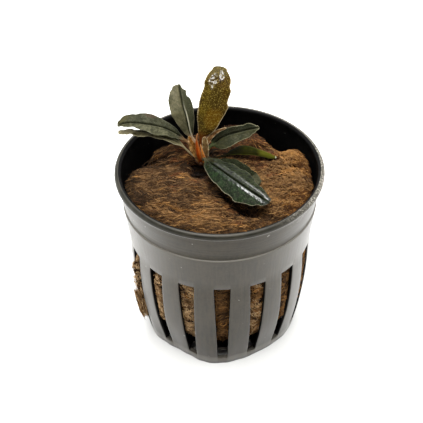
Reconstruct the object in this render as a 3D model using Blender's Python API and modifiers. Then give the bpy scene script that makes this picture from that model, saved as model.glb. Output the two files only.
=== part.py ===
"""A bucephalandra, a small aquarium aroid, in a slotted net pot packed with brown mineral wool.

The origin is on the pot's axis, on the surface that it stands on. +Z is up, and -Y is the front.
Sizes are written in millimetres and turned into metres where a mesh is made.
"""
import math

import bmesh
import bpy
from mathutils import Vector, noise

MM = 0.001

# Net pot: one moulding, with a rolled lip, a plain collar and a slotted wall that bows outwards.
RIM_RADIUS = 25.5
POT_HEIGHT = 48.6
LIP_RADIUS = 0.85
COLLAR_TOP = (25.0, 46.9)
COLLAR_FOOT = (23.55, 39.5)
LEDGE = (23.85, 39.2)
SLOT_TOP = (22.65, 29.0)
WALL_FOOT = (19.75, 2.5)
WALL_BOW = 0.85
WALL = 0.9
FOOT_RADIUS = 19.3
FOOT_INNER = 18.3
FLOOR_TOP = 3.6
FLOOR = 1.0
POT_STEPS = 64

# Slots: narrower at the foot, and cut on into the edge of the floor.
SLOT_COUNT = 16
SLOT_BASE_Z = 2.2
SLOT_HALF_TOP = 2.07
SLOT_HALF_BASE = 1.22
SLOT_REACH_IN = 17.2

# Mineral wool: a plug that fills the pot, torn away from its back wall near the top.
GAP = 0.35
WOOL_STEPS = 96
WOOL_TOP = 45.8
WOOL_BASE = ((13.0, 3.95), (16.4, 5.4), (17.8, 8.4))
WOOL_SHOULDER = 30.0
SIDE_LEVELS = (12.0, 16.5, 21.0, 25.0, 29.0, 36.0, 42.0)
TOP_FRACTIONS = (1.0, 0.94, 0.85, 0.74, 0.63, 0.52, 0.42, 0.32, 0.2)
# The plug's edge at the top, anticlockwise from +X: direction in degrees and distance from the axis.
WOOL_EDGE = (
    (0, 22.0), (22, 22.3), (27, 20.0), (31, 16.8), (43, 17.4), (56, 19.3), (70, 20.0), (80, 20.4),
    (96, 18.6), (115, 17.0), (134, 17.6), (140, 18.4), (154, 18.0), (164, 19.2), (173, 21.2),
    (189, 22.4), (225, 22.6), (270, 22.6), (315, 22.5), (345, 22.2), (360, 22.0),
)
# Slots, counted anticlockwise from the front, where the wool swells out between the bars.
BULGES = {0: 0.5, 1: 0.6, 2: 0.7, 3: 0.9, 5: 0.5, 7: 0.4, 9: 0.5, 11: 0.6, 12: 1.0, 13: 2.4, 14: 0.8, 15: 0.6}
BULGE_SPAN = (10.0, 27.0)

# Rhizome: the short knobbly stem that every leaf stalk grows from, in a hollow of the wool.
RHIZOME = (-3.9, 6.9, 45.1)
RHIZOME_RADII = (1.9, 1.8, 1.15)

# Leaves: fleshy at the middle, thin at the margins.
STALK_HALF = 0.48
STALK_THICK = 0.8
BLADE_THICK = 0.5
MARGIN_THICK = 0.24
LEAF_STATIONS = 12
ACROSS = (-1.0, -0.7, -0.35, 0.0, 0.35, 0.7, 1.0)


class Leaf:
    """One leaf, by the line of its stalk and midrib and the half-widths of its blade.

    line: points from the foot of the stalk to the tip of the blade.
    blade: how far along the line the blade begins, from 0 to 1.
    left, right: half-widths at even steps along the blade, seen from above with the tip ahead.
    face: the way that the upper side looks, at the blade's foot and at its tip.
    fold: how steeply each half rises from the midrib. droop: how far its margin falls again.
    ripple: height of the waves along the margins.
    """

    def __init__(self, name, colour, line, blade, left, right, face, fold, droop=0.0, ripple=0.15):
        self.name = name
        self.colour = colour
        self.line = [Vector(point) for point in line]
        self.blade = blade
        self.left = left
        self.right = right
        self.face = [Vector(direction).normalized() for direction in face]
        self.fold = fold
        self.droop = droop
        self.ripple = ripple


LEAVES = (
    Leaf("leaf_upright", (0.13, 0.08, 0.008),
         line=((-3.9, 6.8, 46.6), (-3.7, 7.4, 49.0), (-3.5, 8.2, 51.5), (-2.6, 8.5, 54.8),
               (-1.3, 10.6, 59.2), (-0.2, 13.2, 63.3), (0.7, 17.0, 66.2)),
         blade=0.18, left=(0.5, 1.7, 2.7, 3.3, 3.4, 3.1, 3.0, 2.3, 0.5),
         right=(0.5, 1.7, 2.7, 3.4, 3.7, 3.5, 3.2, 2.6, 0.5),
         face=((0.0, -0.85, 0.5), (0.0, -0.6, 0.8)), fold=0.05, droop=0.1, ripple=0.12),
    Leaf("leaf_back", (0.12, 0.12, 0.06),
         line=((-4.5, 8.0, 46.45), (-5.4, 8.6, 48.8), (-6.9, 9.6, 51.0), (-7.5, 10.6, 53.6),
               (-8.0, 11.6, 55.8), (-8.7, 13.1, 57.6), (-9.6, 17.2, 61.0)),
         blade=0.24, left=(0.4, 1.7, 2.7, 3.4, 3.5, 3.3, 3.1, 2.4, 0.4),
         right=(0.4, 1.7, 2.2, 2.6, 2.8, 2.7, 2.0, 1.5, 0.3),
         face=((-0.25, -0.7, 0.65), (-0.25, -0.6, 0.75)), fold=0.3, droop=0.05, ripple=0.12),
    Leaf("leaf_left_upper", (0.08, 0.09, 0.05),
         line=((-5.2, 7.0, 46.4), (-6.5, 8.2, 48.0), (-8.3, 9.5, 49.5), (-12.6, 10.7, 52.0),
               (-17.6, 10.9, 53.5), (-22.3, 11.8, 53.3), (-25.0, 11.9, 52.3)),
         blade=0.2, left=(0.4, 1.3, 2.3, 2.9, 2.5, 1.7, 1.3, 1.0, 0.2),
         right=(0.4, 1.1, 1.7, 2.4, 2.9, 3.1, 2.6, 2.3, 0.3),
         face=((0.0, -0.3, 1.0), (-0.2, -0.3, 1.0)), fold=0.25, droop=0.05, ripple=0.2),
    Leaf("leaf_left_lower", (0.13, 0.12, 0.05),
         line=((-4.8, 5.75, 46.35), (-6.6, 6.7, 47.0), (-9.6, 8.6, 49.0), (-13.5, 9.4, 50.5),
               (-17.7, 10.5, 51.3), (-21.7, 11.6, 51.0), (-25.0, 12.5, 50.0)),
         blade=0.2, left=(0.4, 0.8, 1.1, 1.2, 1.2, 1.0, 1.0, 0.7, 0.2),
         right=(0.4, 0.9, 1.4, 1.6, 1.5, 1.0, 0.6, 0.5, 0.2),
         face=((0.0, -0.3, 1.0), (0.0, -0.3, 1.0)), fold=0.18, ripple=0.15),
    Leaf("leaf_right", (0.05, 0.055, 0.03),
         line=((-2.8, 7.5, 46.4), (-2.7, 7.1, 48.5), (-0.7, 7.8, 50.0), (1.6, 8.2, 51.5),
               (4.8, 8.4, 52.5), (6.7, 8.4, 53.0), (10.0, 8.1, 54.0)),
         blade=0.2, left=(0.7, 1.4, 1.5, 1.6, 1.7, 1.6, 1.5, 1.3, 0.2),
         right=(1.0, 2.3, 2.9, 3.0, 2.8, 2.4, 1.9, 1.3, 0.2),
         face=((0.0, -0.7, 0.7), (0.0, -0.7, 0.7)), fold=0.27, droop=0.0, ripple=0.1),
    Leaf("leaf_right_small", (0.06, 0.07, 0.008),
         line=((-1.5, 6.5, 45.95), (1.3, 6.3, 46.8), (4.0, 6.5, 48.0), (6.4, 6.3, 48.6),
               (9.4, 5.7, 48.3), (11.6, 5.7, 47.4), (14.2, 5.5, 46.6)),
         blade=0.2, left=(0.4, 0.9, 1.4, 1.7, 1.7, 1.6, 1.3, 0.9, 0.2),
         right=(0.4, 0.8, 1.2, 1.4, 1.4, 1.2, 1.0, 0.7, 0.2),
         face=((0.0, -0.25, 1.0), (0.0, -0.25, 1.0)), fold=0.1, droop=0.5, ripple=0.05),
    Leaf("leaf_front", (0.03, 0.06, 0.03),
         line=((-3.75, 5.5, 46.4), (-3.4, 4.4, 47.3), (0.1, -1.6, 48.8), (3.8, -6.8, 49.5),
               (7.4, -10.6, 49.2), (11.3, -13.9, 48.5)),
         blade=0.05, left=(0.5, 2.6, 3.4, 3.9, 4.2, 4.1, 3.3, 2.4, 0.3),
         right=(0.5, 1.5, 2.5, 3.6, 4.4, 4.7, 5.4, 3.3, 0.3),
         face=((0.0, 0.0, 1.0), (0.0, 0.0, 1.0)), fold=0.35, droop=0.4, ripple=0.25),
    Leaf("leaf_front_under", (0.03, 0.05, 0.025),
         line=((-2.65, 6.25, 46.2), (0.7, 3.1, 46.9), (4.0, -0.2, 47.2), (6.8, -2.9, 47.0),
               (9.5, -4.9, 46.7)),
         blade=0.12, left=(0.4, 1.6, 2.8, 3.4, 3.5, 3.3, 2.9, 2.2, 0.3),
         right=(0.4, 1.2, 2.0, 2.6, 2.9, 3.0, 2.7, 2.0, 0.3),
         face=((0.0, 0.0, 1.0), (0.0, 0.0, 1.0)), fold=0.1, droop=0.1, ripple=0.15),
)


def clear_scene():
    for item in list(bpy.data.objects):
        bpy.data.objects.remove(item, do_unlink=True)


def new_collection(name):
    group = bpy.data.collections.new(name)
    bpy.context.scene.collection.children.link(group)
    return group


def finish(name, colour, roughness, metallic=0.0):
    """A Principled material in one colour."""
    material = bpy.data.materials.new(name)
    material.use_nodes = True
    shader = material.node_tree.nodes["Principled BSDF"]
    shader.inputs["Base Color"].default_value = (*colour, 1.0)
    shader.inputs["Roughness"].default_value = roughness
    shader.inputs["Metallic"].default_value = metallic
    return material


def add_object(name, mesh, group, material=None):
    item = bpy.data.objects.new(name, mesh)
    group.objects.link(item)
    if material:
        mesh.materials.append(material)
    return item


def mesh_from(bm, name):
    """Closes a bmesh made in millimetres into a mesh in metres, with its faces outwards."""
    bmesh.ops.scale(bm, vec=(MM, MM, MM), verts=bm.verts)
    bmesh.ops.recalc_face_normals(bm, faces=bm.faces)
    mesh = bpy.data.meshes.new(name)
    bm.to_mesh(mesh)
    bm.free()
    mesh.shade_smooth()
    mesh.set_sharp_from_angle(angle=math.radians(40))
    return mesh


def skin(bm, rings):
    """Joins equal closed rings of points with quads, caps both ends and returns the last cap."""
    loops = [[bm.verts.new(point) for point in ring] for ring in rings]
    for lower, upper in zip(loops[:-1], loops[1:]):
        for i in range(len(lower)):
            j = (i + 1) % len(lower)
            bm.faces.new((lower[i], lower[j], upper[j], upper[i]))
    bm.faces.new(loops[0])
    return bm.faces.new(loops[-1])


def between(values, position):
    """Reads evenly spaced values at a position from 0 to 1, along a straight line between them."""
    place = min(max(position, 0.0), 1.0) * (len(values) - 1)
    i = min(int(place), len(values) - 2)
    return values[i] + (values[i + 1] - values[i]) * (place - i)


def smooth_step(low, high, value):
    t = min(max((value - low) / (high - low), 0.0), 1.0)
    return t * t * (3 - 2 * t)


def wall_radius(z):
    """Outer radius of the slotted wall, from the ledge under the collar down to the foot."""
    if z >= SLOT_TOP[1]:
        t = (z - SLOT_TOP[1]) / (LEDGE[1] - SLOT_TOP[1])
        return SLOT_TOP[0] + (LEDGE[0] - SLOT_TOP[0]) * t
    t = (z - WALL_FOOT[1]) / (SLOT_TOP[1] - WALL_FOOT[1])
    return WALL_FOOT[0] + (SLOT_TOP[0] - WALL_FOOT[0]) * t + WALL_BOW * 4 * t * (1 - t)


def inner_radius(z):
    """Inner radius of the pot at a height above its floor."""
    if z <= LEDGE[1] - 1.0:
        return wall_radius(z) - WALL
    t = (z - COLLAR_FOOT[1]) / (COLLAR_TOP[1] - COLLAR_FOOT[1])
    return COLLAR_FOOT[0] + (COLLAR_TOP[0] - COLLAR_FOOT[0]) * t - WALL


def pot_profile():
    """The wall's section, from the middle of the floor, up inside, over the lip and down outside."""
    levels = (7.0, 13.0, 20.0, SLOT_TOP[1])
    lip_centre = (RIM_RADIUS - LIP_RADIUS, POT_HEIGHT - LIP_RADIUS)
    profile = [(0.0, FLOOR_TOP), (inner_radius(FLOOR_TOP), FLOOR_TOP)]
    profile += [(inner_radius(z), z) for z in levels]
    profile += [(inner_radius(38.2), 38.2), (inner_radius(COLLAR_TOP[1]), COLLAR_TOP[1])]
    for degrees in (180, 120, 60, 0, -50):
        turn = math.radians(degrees)
        profile.append((lip_centre[0] + LIP_RADIUS * math.cos(turn), lip_centre[1] + LIP_RADIUS * math.sin(turn)))
    profile += [COLLAR_TOP, COLLAR_FOOT, LEDGE]
    profile += [(wall_radius(z), z) for z in reversed(levels)]
    profile += [WALL_FOOT, (FOOT_RADIUS, 0.0), (FOOT_INNER, 0.0)]
    profile += [(FOOT_INNER, FLOOR_TOP - FLOOR), (0.0, FLOOR_TOP - FLOOR)]
    return profile


def slot_cutters(group):
    """Sixteen wedges, wide at the top, that cut the slots through the wall and the floor's edge."""
    bm = bmesh.new()
    for index in range(SLOT_COUNT):
        made = bmesh.ops.create_cube(bm, size=1.0)["verts"]
        turn = index * 2 * math.pi / SLOT_COUNT
        outward = Vector((math.sin(turn), -math.cos(turn), 0.0))
        sideways = Vector((math.cos(turn), math.sin(turn), 0.0))
        for vert in made:
            high = vert.co.z > 0
            half = SLOT_HALF_TOP if high else SLOT_HALF_BASE
            reach = RIM_RADIUS + 2.0 if vert.co.y > 0 else SLOT_REACH_IN
            place = outward * reach + sideways * math.copysign(half, vert.co.x)
            place.z = SLOT_TOP[1] if high else SLOT_BASE_Z
            vert.co = place
    cutter = add_object("slot_cutters", mesh_from(bm, "slot_cutters"), group)
    cutter.hide_render = True
    cutter.display_type = "WIRE"
    return cutter


def net_pot(group, cutters):
    bm = bmesh.new()
    points = [bm.verts.new((radius, 0.0, z)) for radius, z in pot_profile()]
    for start, end in zip(points[:-1], points[1:]):
        bm.edges.new((start, end))
    bmesh.ops.scale(bm, vec=(MM, MM, MM), verts=bm.verts)
    mesh = bpy.data.meshes.new("net_pot")
    bm.to_mesh(mesh)
    bm.free()
    pot = add_object("net_pot", mesh, group, finish("pot_plastic", (0.03, 0.03, 0.028), 0.35))
    turn = pot.modifiers.new("turn", "SCREW")
    turn.steps = POT_STEPS
    turn.render_steps = POT_STEPS
    turn.use_merge_vertices = True
    turn.merge_threshold = 0.00001
    turn.use_smooth_shade = True
    cut = pot.modifiers.new("slots", "BOOLEAN")
    cut.operation = "DIFFERENCE"
    cut.solver = "EXACT"
    cut.object = slot_cutters(cutters)
    return pot


def wool_edge(degrees):
    """Distance of the plug's top edge from the axis, in the given direction."""
    for (start, near), (end, far) in zip(WOOL_EDGE[:-1], WOOL_EDGE[1:]):
        if start <= degrees <= end:
            return near + (far - near) * (degrees - start) / (end - start)
    return WOOL_EDGE[0][1]


def dent(x, y, centre, radii):
    """How deep a point lies in an oval dent: 1 at its middle, 0 outside."""
    reach = math.hypot((x - centre[0]) / radii[0], (y - centre[1]) / radii[1])
    return 1.0 - smooth_step(0.35, 1.0, reach)


def groove(x, y, start, end, half_width):
    """The same for a groove from start to end."""
    point = Vector((x, y))
    along = Vector(end) - Vector(start)
    t = min(max((point - Vector(start)).dot(along) / along.length_squared, 0.0), 1.0)
    reach = (point - Vector(start) - along * t).length / half_width
    return 1.0 - smooth_step(0.2, 1.0, reach)


def wool_height(x, y):
    """Height of the plug's torn top, with its lumps, the planting hollow, the slit and the valley."""
    z = WOOL_TOP + 0.7 * noise.noise(Vector((x / 5.5, y / 4.0, 3.1)))
    z += 0.9 * dent(x, y, (18.6, 5.6), (4.5, 4.0))
    z += 0.5 * dent(x, y, (-11.0, -6.0), (9.0, 8.0))
    z += 0.5 * dent(x, y, (6.0, 17.0), (6.0, 4.5))
    z -= 1.0 * groove(x, y, (-2.0, -5.0), (8.5, -14.5), 4.0)
    z -= 1.4 * groove(x, y, (-19.5, 3.6), (-8.5, 5.6), 1.5)
    hollow = max(dent(x, y, (-4.3, 5.2), (5.6, 5.4)), dent(x, y, (-3.9, 6.8), (4.6, 4.4)))
    return z - (z - 43.5) * smooth_step(0.0, 0.75, hollow)


def rock_wool(group):
    """A plug built from rings: up the side, over the edge and in across the top."""
    turns = [k * 360.0 / WOOL_STEPS for k in range(WOOL_STEPS)]
    rings = []
    for radius, z in WOOL_BASE:
        rings.append([(radius, turn, z) for turn in turns])
    for z in SIDE_LEVELS:
        ring = []
        for turn in turns:
            radius = inner_radius(z) - GAP
            radius += (wool_edge(turn) - radius) * smooth_step(WOOL_SHOULDER, WOOL_TOP - 1.5, z)
            slot, offset = divmod(turn + 90.0 + 180.0 / SLOT_COUNT, 360.0 / SLOT_COUNT)
            centred = abs(offset - 180.0 / SLOT_COUNT) < 1.0
            if centred and BULGE_SPAN[0] < z < BULGE_SPAN[1]:
                radius += BULGES.get(int(slot) % SLOT_COUNT, 0.0)
            ring.append((radius, turn, z))
        rings.append(ring)
    for fraction in TOP_FRACTIONS:
        ring = []
        for turn in turns:
            radius = wool_edge(turn) * fraction
            x = radius * math.cos(math.radians(turn))
            y = radius * math.sin(math.radians(turn))
            fall = 1.1 * smooth_step(0.9, 1.0, fraction)
            ring.append((radius, turn, wool_height(x, y) - fall))
        rings.append(ring)
    points = []
    for ring in rings:
        points.append([(r * math.cos(math.radians(a)), r * math.sin(math.radians(a)), z) for r, a, z in ring])
    bm = bmesh.new()
    middle = bmesh.ops.poke(bm, faces=[skin(bm, points)])["verts"][0]
    middle.co.z = wool_height(middle.co.x, middle.co.y)
    material = finish("mineral_wool", (0.14, 0.07, 0.025), 0.95)
    return add_object("rock_wool", mesh_from(bm, "rock_wool"), group, material)


def rhizome(group):
    bm = bmesh.new()
    bmesh.ops.create_uvsphere(bm, u_segments=14, v_segments=8, radius=1.0)
    for vert in bm.verts:
        knob = 1.0 + 0.12 * noise.noise(vert.co * 2.3)
        vert.co = Vector([RHIZOME[i] + RHIZOME_RADII[i] * vert.co[i] * knob for i in range(3)])
    return add_object("rhizome", mesh_from(bm, "rhizome"), group, finish("rhizome", (0.12, 0.08, 0.03), 0.6))


def smooth_line(points, count):
    """Evenly spaced places and directions on a smooth curve through the points."""
    ends = [points[0] * 2 - points[1], *points, points[-1] * 2 - points[-2]]
    fine = []
    for a, b, c, d in zip(ends, ends[1:], ends[2:], ends[3:]):
        for step in range(16):
            t = step / 16
            fine.append(0.5 * (2 * b + (c - a) * t + (2 * a - 5 * b + 4 * c - d) * t ** 2
                               + (3 * b - a - 3 * c + d) * t ** 3))
    fine.append(points[-1])
    lengths = [0.0]
    for start, end in zip(fine[:-1], fine[1:]):
        lengths.append(lengths[-1] + (end - start).length)
    places = []
    i = 0
    for step in range(count):
        target = lengths[-1] * step / (count - 1)
        while i < len(fine) - 2 and lengths[i + 1] < target:
            i += 1
        t = (target - lengths[i]) / (lengths[i + 1] - lengths[i])
        places.append((fine[i].lerp(fine[i + 1], t), (fine[i + 1] - fine[i]).normalized()))
    return places


def leaf_section(leaf, station, place, along):
    """One closed ring of points round the leaf, across its upper side and back along its lower."""
    on_blade = max(0.0, (station - leaf.blade) / (1.0 - leaf.blade))
    face = leaf.face[0].lerp(leaf.face[1], on_blade)
    up = (face - along * face.dot(along)).normalized()
    side = along.cross(up)
    full = smooth_step(0.0, 0.12, on_blade)
    left = STALK_HALF + (between(leaf.left, on_blade) - STALK_HALF) * full
    right = STALK_HALF + (between(leaf.right, on_blade) - STALK_HALF) * full
    middle = STALK_THICK + (BLADE_THICK - STALK_THICK) * full
    upper = []
    lower = []
    for u in ACROSS:
        half = right if u > 0 else left
        wave = leaf.ripple * u * u * math.sin(26.0 * on_blade + (1.7 if u > 0 else 0.0))
        rise = full * (half * (leaf.fold * abs(u) - leaf.droop * u * u) + wave)
        thick = MARGIN_THICK + (middle - MARGIN_THICK) * (1 - u * u)
        base = place + side * (half * u) + up * rise
        upper.append(base + up * thick / 2)
        lower.append(base - up * thick / 2)
    ring = upper + list(reversed(lower[1:-1]))
    ring[0] = (upper[0] + lower[0]) / 2
    ring[len(ACROSS) - 1] = (upper[-1] + lower[-1]) / 2
    return ring


def leaf_object(leaf, group):
    rings = []
    for index, (place, along) in enumerate(smooth_line(leaf.line, LEAF_STATIONS)):
        rings.append(leaf_section(leaf, index / (LEAF_STATIONS - 1), place, along))
    bm = bmesh.new()
    skin(bm, rings)
    return add_object(leaf.name, mesh_from(bm, leaf.name), group, finish(leaf.name, leaf.colour, 0.35))


def main():
    clear_scene()
    plant = new_collection("bucephalandra")
    cutters = new_collection("cutters")
    net_pot(plant, cutters)
    rock_wool(plant)
    rhizome(plant)
    for leaf in LEAVES:
        leaf_object(leaf, plant)


main()
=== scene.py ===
import math

import bmesh
import bpy
import numpy as np
from mathutils import Matrix, Vector, kdtree, noise


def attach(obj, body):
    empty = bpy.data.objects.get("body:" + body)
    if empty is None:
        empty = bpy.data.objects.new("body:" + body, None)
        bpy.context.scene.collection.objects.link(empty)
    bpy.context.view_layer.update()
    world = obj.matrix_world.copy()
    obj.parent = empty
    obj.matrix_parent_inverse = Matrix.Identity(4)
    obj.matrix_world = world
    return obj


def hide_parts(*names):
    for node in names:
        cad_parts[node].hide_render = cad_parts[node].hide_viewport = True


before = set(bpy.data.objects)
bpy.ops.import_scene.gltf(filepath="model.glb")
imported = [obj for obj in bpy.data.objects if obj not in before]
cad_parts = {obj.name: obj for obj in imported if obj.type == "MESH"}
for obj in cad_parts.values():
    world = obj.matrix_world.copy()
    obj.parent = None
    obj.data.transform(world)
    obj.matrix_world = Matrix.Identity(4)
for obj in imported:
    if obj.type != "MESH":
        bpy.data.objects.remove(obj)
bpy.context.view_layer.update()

# The view. The camera looks down on the front of the pot through a long lens. Its place and turn
# were worked out from the round rim, the foot and the slots, which are even on the real pot.
MM = 0.001
LENS = 102.13
SENSOR = 36.0
CAMERA_PLACE = Vector((-3.556, -226.395, 230.702)) * MM
CAMERA_DOWN = math.radians(40.957)
CAMERA_TURN = math.radians(-0.37)
CAMERA_ROLL = math.radians(-0.907)
NEAREST_SEEN = 10 * MM
FARTHEST_SEEN = 40.0

camera = bpy.data.objects.new("camera", bpy.data.cameras.new("camera"))
bpy.context.scene.collection.objects.link(camera)
camera.data.lens = LENS
camera.data.sensor_width = SENSOR
camera.data.clip_start = NEAREST_SEEN
camera.data.clip_end = FARTHEST_SEEN
aim = Matrix.Rotation(CAMERA_TURN, 4, "Z") @ Matrix.Rotation(math.pi / 2 - CAMERA_DOWN, 4, "X")
camera.matrix_world = Matrix.Translation(CAMERA_PLACE) @ aim @ Matrix.Rotation(CAMERA_ROLL, 4, "Z")
bpy.context.scene.camera = camera

# The studio: a white table under soft light from above and behind, with a bright backdrop and a
# dimmer room on the camera's side. The table glows less close to the pot, where the pot shades it.
FLOOR_SIZE = 8.0
TABLE_COLOUR = (0.5, 0.5, 0.49, 1.0)
TABLE_GLOW = 1.0
NEAR_GLOW = 0.34
GLOW_COLOURS = ((0.0, (0.0, 0.0, 0.0)), (1.0, (1.0, 1.0, 0.99)))
# Where the glow changes: round the pot's foot, at its sides and behind it.
FOOT_SHADE = (16.5 * MM, 19.0 * MM)
SIDE_SHADE = (34 * MM, 46 * MM)
BACK_SHADE = (40 * MM, 60 * MM)
SKY_COLOUR = (1.0, 1.0, 0.99, 1.0)
ROOM_LIGHT = 1.4
ROOM_DIM = 0.2
DIM_SIDE = (0.0, -0.94, 0.34)
BACK_DIM = 1.0
BACK_SIDE = (0.0, 0.8, 0.6)
HORIZON_LIGHT = 0.8
SOFTBOX_LIGHT = 3.2
STRIP_LIGHT = 6.5
LAMP_STRENGTH = 1.2
LAMP_WIDTH = math.radians(20)
LAMP_TILT = (math.radians(-18), math.radians(-6), 0.0)


class Value:
    """A number, colour or vector that varies over a surface. Arithmetic on it adds Math nodes."""

    def __init__(self, nodes, socket):
        self.nodes = nodes
        self.socket = socket

    def maths(self, operation, first, second=0.0):
        return self.nodes.node("ShaderNodeMath", {"operation": operation}, first, second)

    def axis(self, letter):
        """One coordinate of a vector."""
        return self.nodes.node("ShaderNodeSeparateXYZ", {}, self, output=letter)

    def __abs__(self):
        return self.maths("ABSOLUTE", self)

    def __add__(self, other):
        return self.maths("ADD", self, other)

    def __sub__(self, other):
        return self.maths("SUBTRACT", self, other)

    def __mul__(self, other):
        return self.maths("MULTIPLY", self, other)

    def __truediv__(self, other):
        return self.maths("DIVIDE", self, other)

    def __rsub__(self, other):
        return self.maths("SUBTRACT", other, self)

    def __rtruediv__(self, other):
        return self.maths("DIVIDE", other, self)

    __radd__ = __add__
    __rmul__ = __mul__


class Nodes:
    """A node tree, with short ways to add nodes to it."""

    def __init__(self, tree):
        self.tree = tree

    def node(self, kind, settings, *inputs, output=0, **named):
        """Adds a node, sets it and then its sockets: inputs by their order, or by their names."""
        made = self.tree.nodes.new(kind)
        for name, setting in settings.items():
            if name == "stops":
                self.set_stops(made.color_ramp, setting)
            else:
                setattr(made, name, setting)
        feeds = dict(enumerate(inputs))
        feeds.update({name.replace("_", " "): value for name, value in named.items()})
        for key, value in feeds.items():
            if isinstance(value, Value):
                self.tree.links.new(value.socket, made.inputs[key])
            else:
                made.inputs[key].default_value = value
        return Value(self, made.outputs[output])

    def set_stops(self, ramp, stops):
        while len(ramp.elements) < len(stops):
            ramp.elements.new(1.0)
        for element, (place, colour) in zip(ramp.elements, stops):
            element.position = place
            element.color = (*colour, 1.0)

    def level(self, value, low, high, to_low=0.0, to_high=1.0):
        """Maps low..high to another range, smoothly and held at the ends."""
        settings = {"interpolation_type": "SMOOTHSTEP", "clamp": True}
        return self.node("ShaderNodeMapRange", settings, value, low, high, to_low, to_high)

    def facing(self, way, side):
        """How much a direction points to a side, from -1 to 1."""
        return self.node("ShaderNodeVectorMath", {"operation": "DOT_PRODUCT"}, way, side, output="Value")


class Paint(Nodes):
    """One finish: a Principled shader, and the nodes that vary it."""

    def __init__(self, name, **constants):
        self.material = bpy.data.materials.new(name)
        self.material.use_nodes = True
        super().__init__(self.material.node_tree)
        self.shader = self.tree.nodes["Principled BSDF"]
        for socket, value in constants.items():
            self.shader.inputs[socket.replace("_", " ")].default_value = value

    def feed(self, socket, value):
        self.tree.links.new(value.socket, self.shader.inputs[socket])

    def place(self):
        """Object coordinates: the piece's own place, in metres."""
        return self.node("ShaderNodeTexCoord", {}, output="Object")

    def stretched(self, vector, scale):
        return self.node("ShaderNodeMapping", {}, Vector=vector, Scale=scale)

    def noise(self, vector, scale, detail, roughness, distortion=0.0):
        return self.node("ShaderNodeTexNoise", {}, Vector=vector, Scale=scale, Detail=detail,
                         Roughness=roughness, Distortion=distortion)

    def ramp(self, value, *stops):
        return self.node("ShaderNodeValToRGB", {"stops": stops}, value)

    def mix(self, factor, first, second):
        """Mixes two colours: inputs 6 and 7 of the node are its colour sockets."""
        made = self.node("ShaderNodeMix", {"data_type": "RGBA"}, factor, output=2)
        for key, value in ((6, first), (7, second)):
            socket = made.socket.node.inputs[key]
            if isinstance(value, Value):
                self.tree.links.new(value.socket, socket)
            else:
                socket.default_value = (*value, 1.0)
        return made

    def bump(self, height, distance, strength):
        return self.node("ShaderNodeBump", {}, Strength=strength, Distance=distance, Height=height)


bpy.ops.object.select_all(action="DESELECT")
bpy.ops.mesh.primitive_plane_add(size=FLOOR_SIZE)
floor = bpy.context.object
floor.name = "floor"
table_top = Paint("table_top", Base_Color=TABLE_COLOUR, Roughness=1.0, Specular_IOR_Level=0.0,
                  Emission_Strength=TABLE_GLOW)
table_place = table_top.place()
from_pot = table_top.node("ShaderNodeVectorMath", {"operation": "LENGTH"}, table_place, output="Value")
beside_pot = table_top.level(abs(table_place.axis("X")), *SIDE_SHADE)
behind_pot = table_top.level(table_place.axis("Y"), *BACK_SHADE)
open_table = table_top.level(beside_pot + behind_pot, 0.0, 1.0)
glow = table_top.level(from_pot, *FOOT_SHADE) * (NEAR_GLOW + open_table * (1.0 - NEAR_GLOW))
table_top.feed("Emission Color", table_top.ramp(glow, *GLOW_COLOURS))
floor.data.materials.append(table_top.material)

world = bpy.data.worlds.new("studio")
bpy.context.scene.world = world
world.use_nodes = True
sky = Nodes(world.node_tree)
toward = sky.node("ShaderNodeTexCoord", {}, output="Generated")
to_camera = sky.facing(toward, DIM_SIDE)
to_back = sky.facing(toward, BACK_SIDE)
upward = toward.axis("Z")
strength = sky.level(to_camera, 0.45, 0.85, ROOM_LIGHT, ROOM_DIM)
strength = strength - sky.level(to_back, 0.7, 0.95, 0.0, BACK_DIM)
strength = strength + sky.level(upward, 0.5, 0.15, 0.0, HORIZON_LIGHT) * sky.level(to_camera, 0.7, 0.4)
over_pot = sky.level(abs(toward.axis("X")), 0.34, 0.24)
softbox = over_pot * sky.level(upward, 0.5, 0.62) * sky.level(toward.axis("Y"), -0.5, -0.35)
strip = over_pot * sky.level(upward, 0.84, 0.9)
strength = strength + softbox * SOFTBOX_LIGHT + strip * STRIP_LIGHT
background = world.node_tree.nodes["Background"]
background.inputs["Color"].default_value = SKY_COLOUR
world.node_tree.links.new(strength.socket, background.inputs["Strength"])

lamp = bpy.data.objects.new("lamp", bpy.data.lights.new("lamp", "SUN"))
bpy.context.scene.collection.objects.link(lamp)
lamp.data.energy = LAMP_STRENGTH
lamp.data.angle = LAMP_WIDTH
lamp.rotation_euler = LAMP_TILT
bpy.context.scene.view_settings.view_transform = "Standard"


# The net pot: one black moulding in soft plastic. It has a rolled lip, a plain collar with a small
# ledge under it, and sixteen slots that narrow downwards and cut on into the edge of the floor.
# Its wall bows outwards, and its thin bars and foot are a little out of true.
RIM_RADIUS = 25.5
POT_HEIGHT = 48.6
LIP_RADIUS = 0.85
COLLAR_TOP = (25.0, 46.9)
COLLAR_FOOT = (23.55, 39.45)
LEDGE = (23.88, 39.2)
SLOT_TOP = (22.65, 29.0)
WALL_FOOT = (19.75, 2.5)
WALL_BOW = 0.85
WALL = 0.9
FOOT_RADIUS = 19.3
FOOT_INNER = 18.3
FLOOR_TOP = 3.6
FLOOR_UNDER = 2.6
SLOT_COUNT = 16
SLOT_FOOT = 2.2
SLOT_REACH = 17.2
SLOT_HALF_TOP = 2.07
SLOT_HALF_FOOT = 1.22
SECTOR_STEPS = 20
SLOT_STEPS = 5
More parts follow.
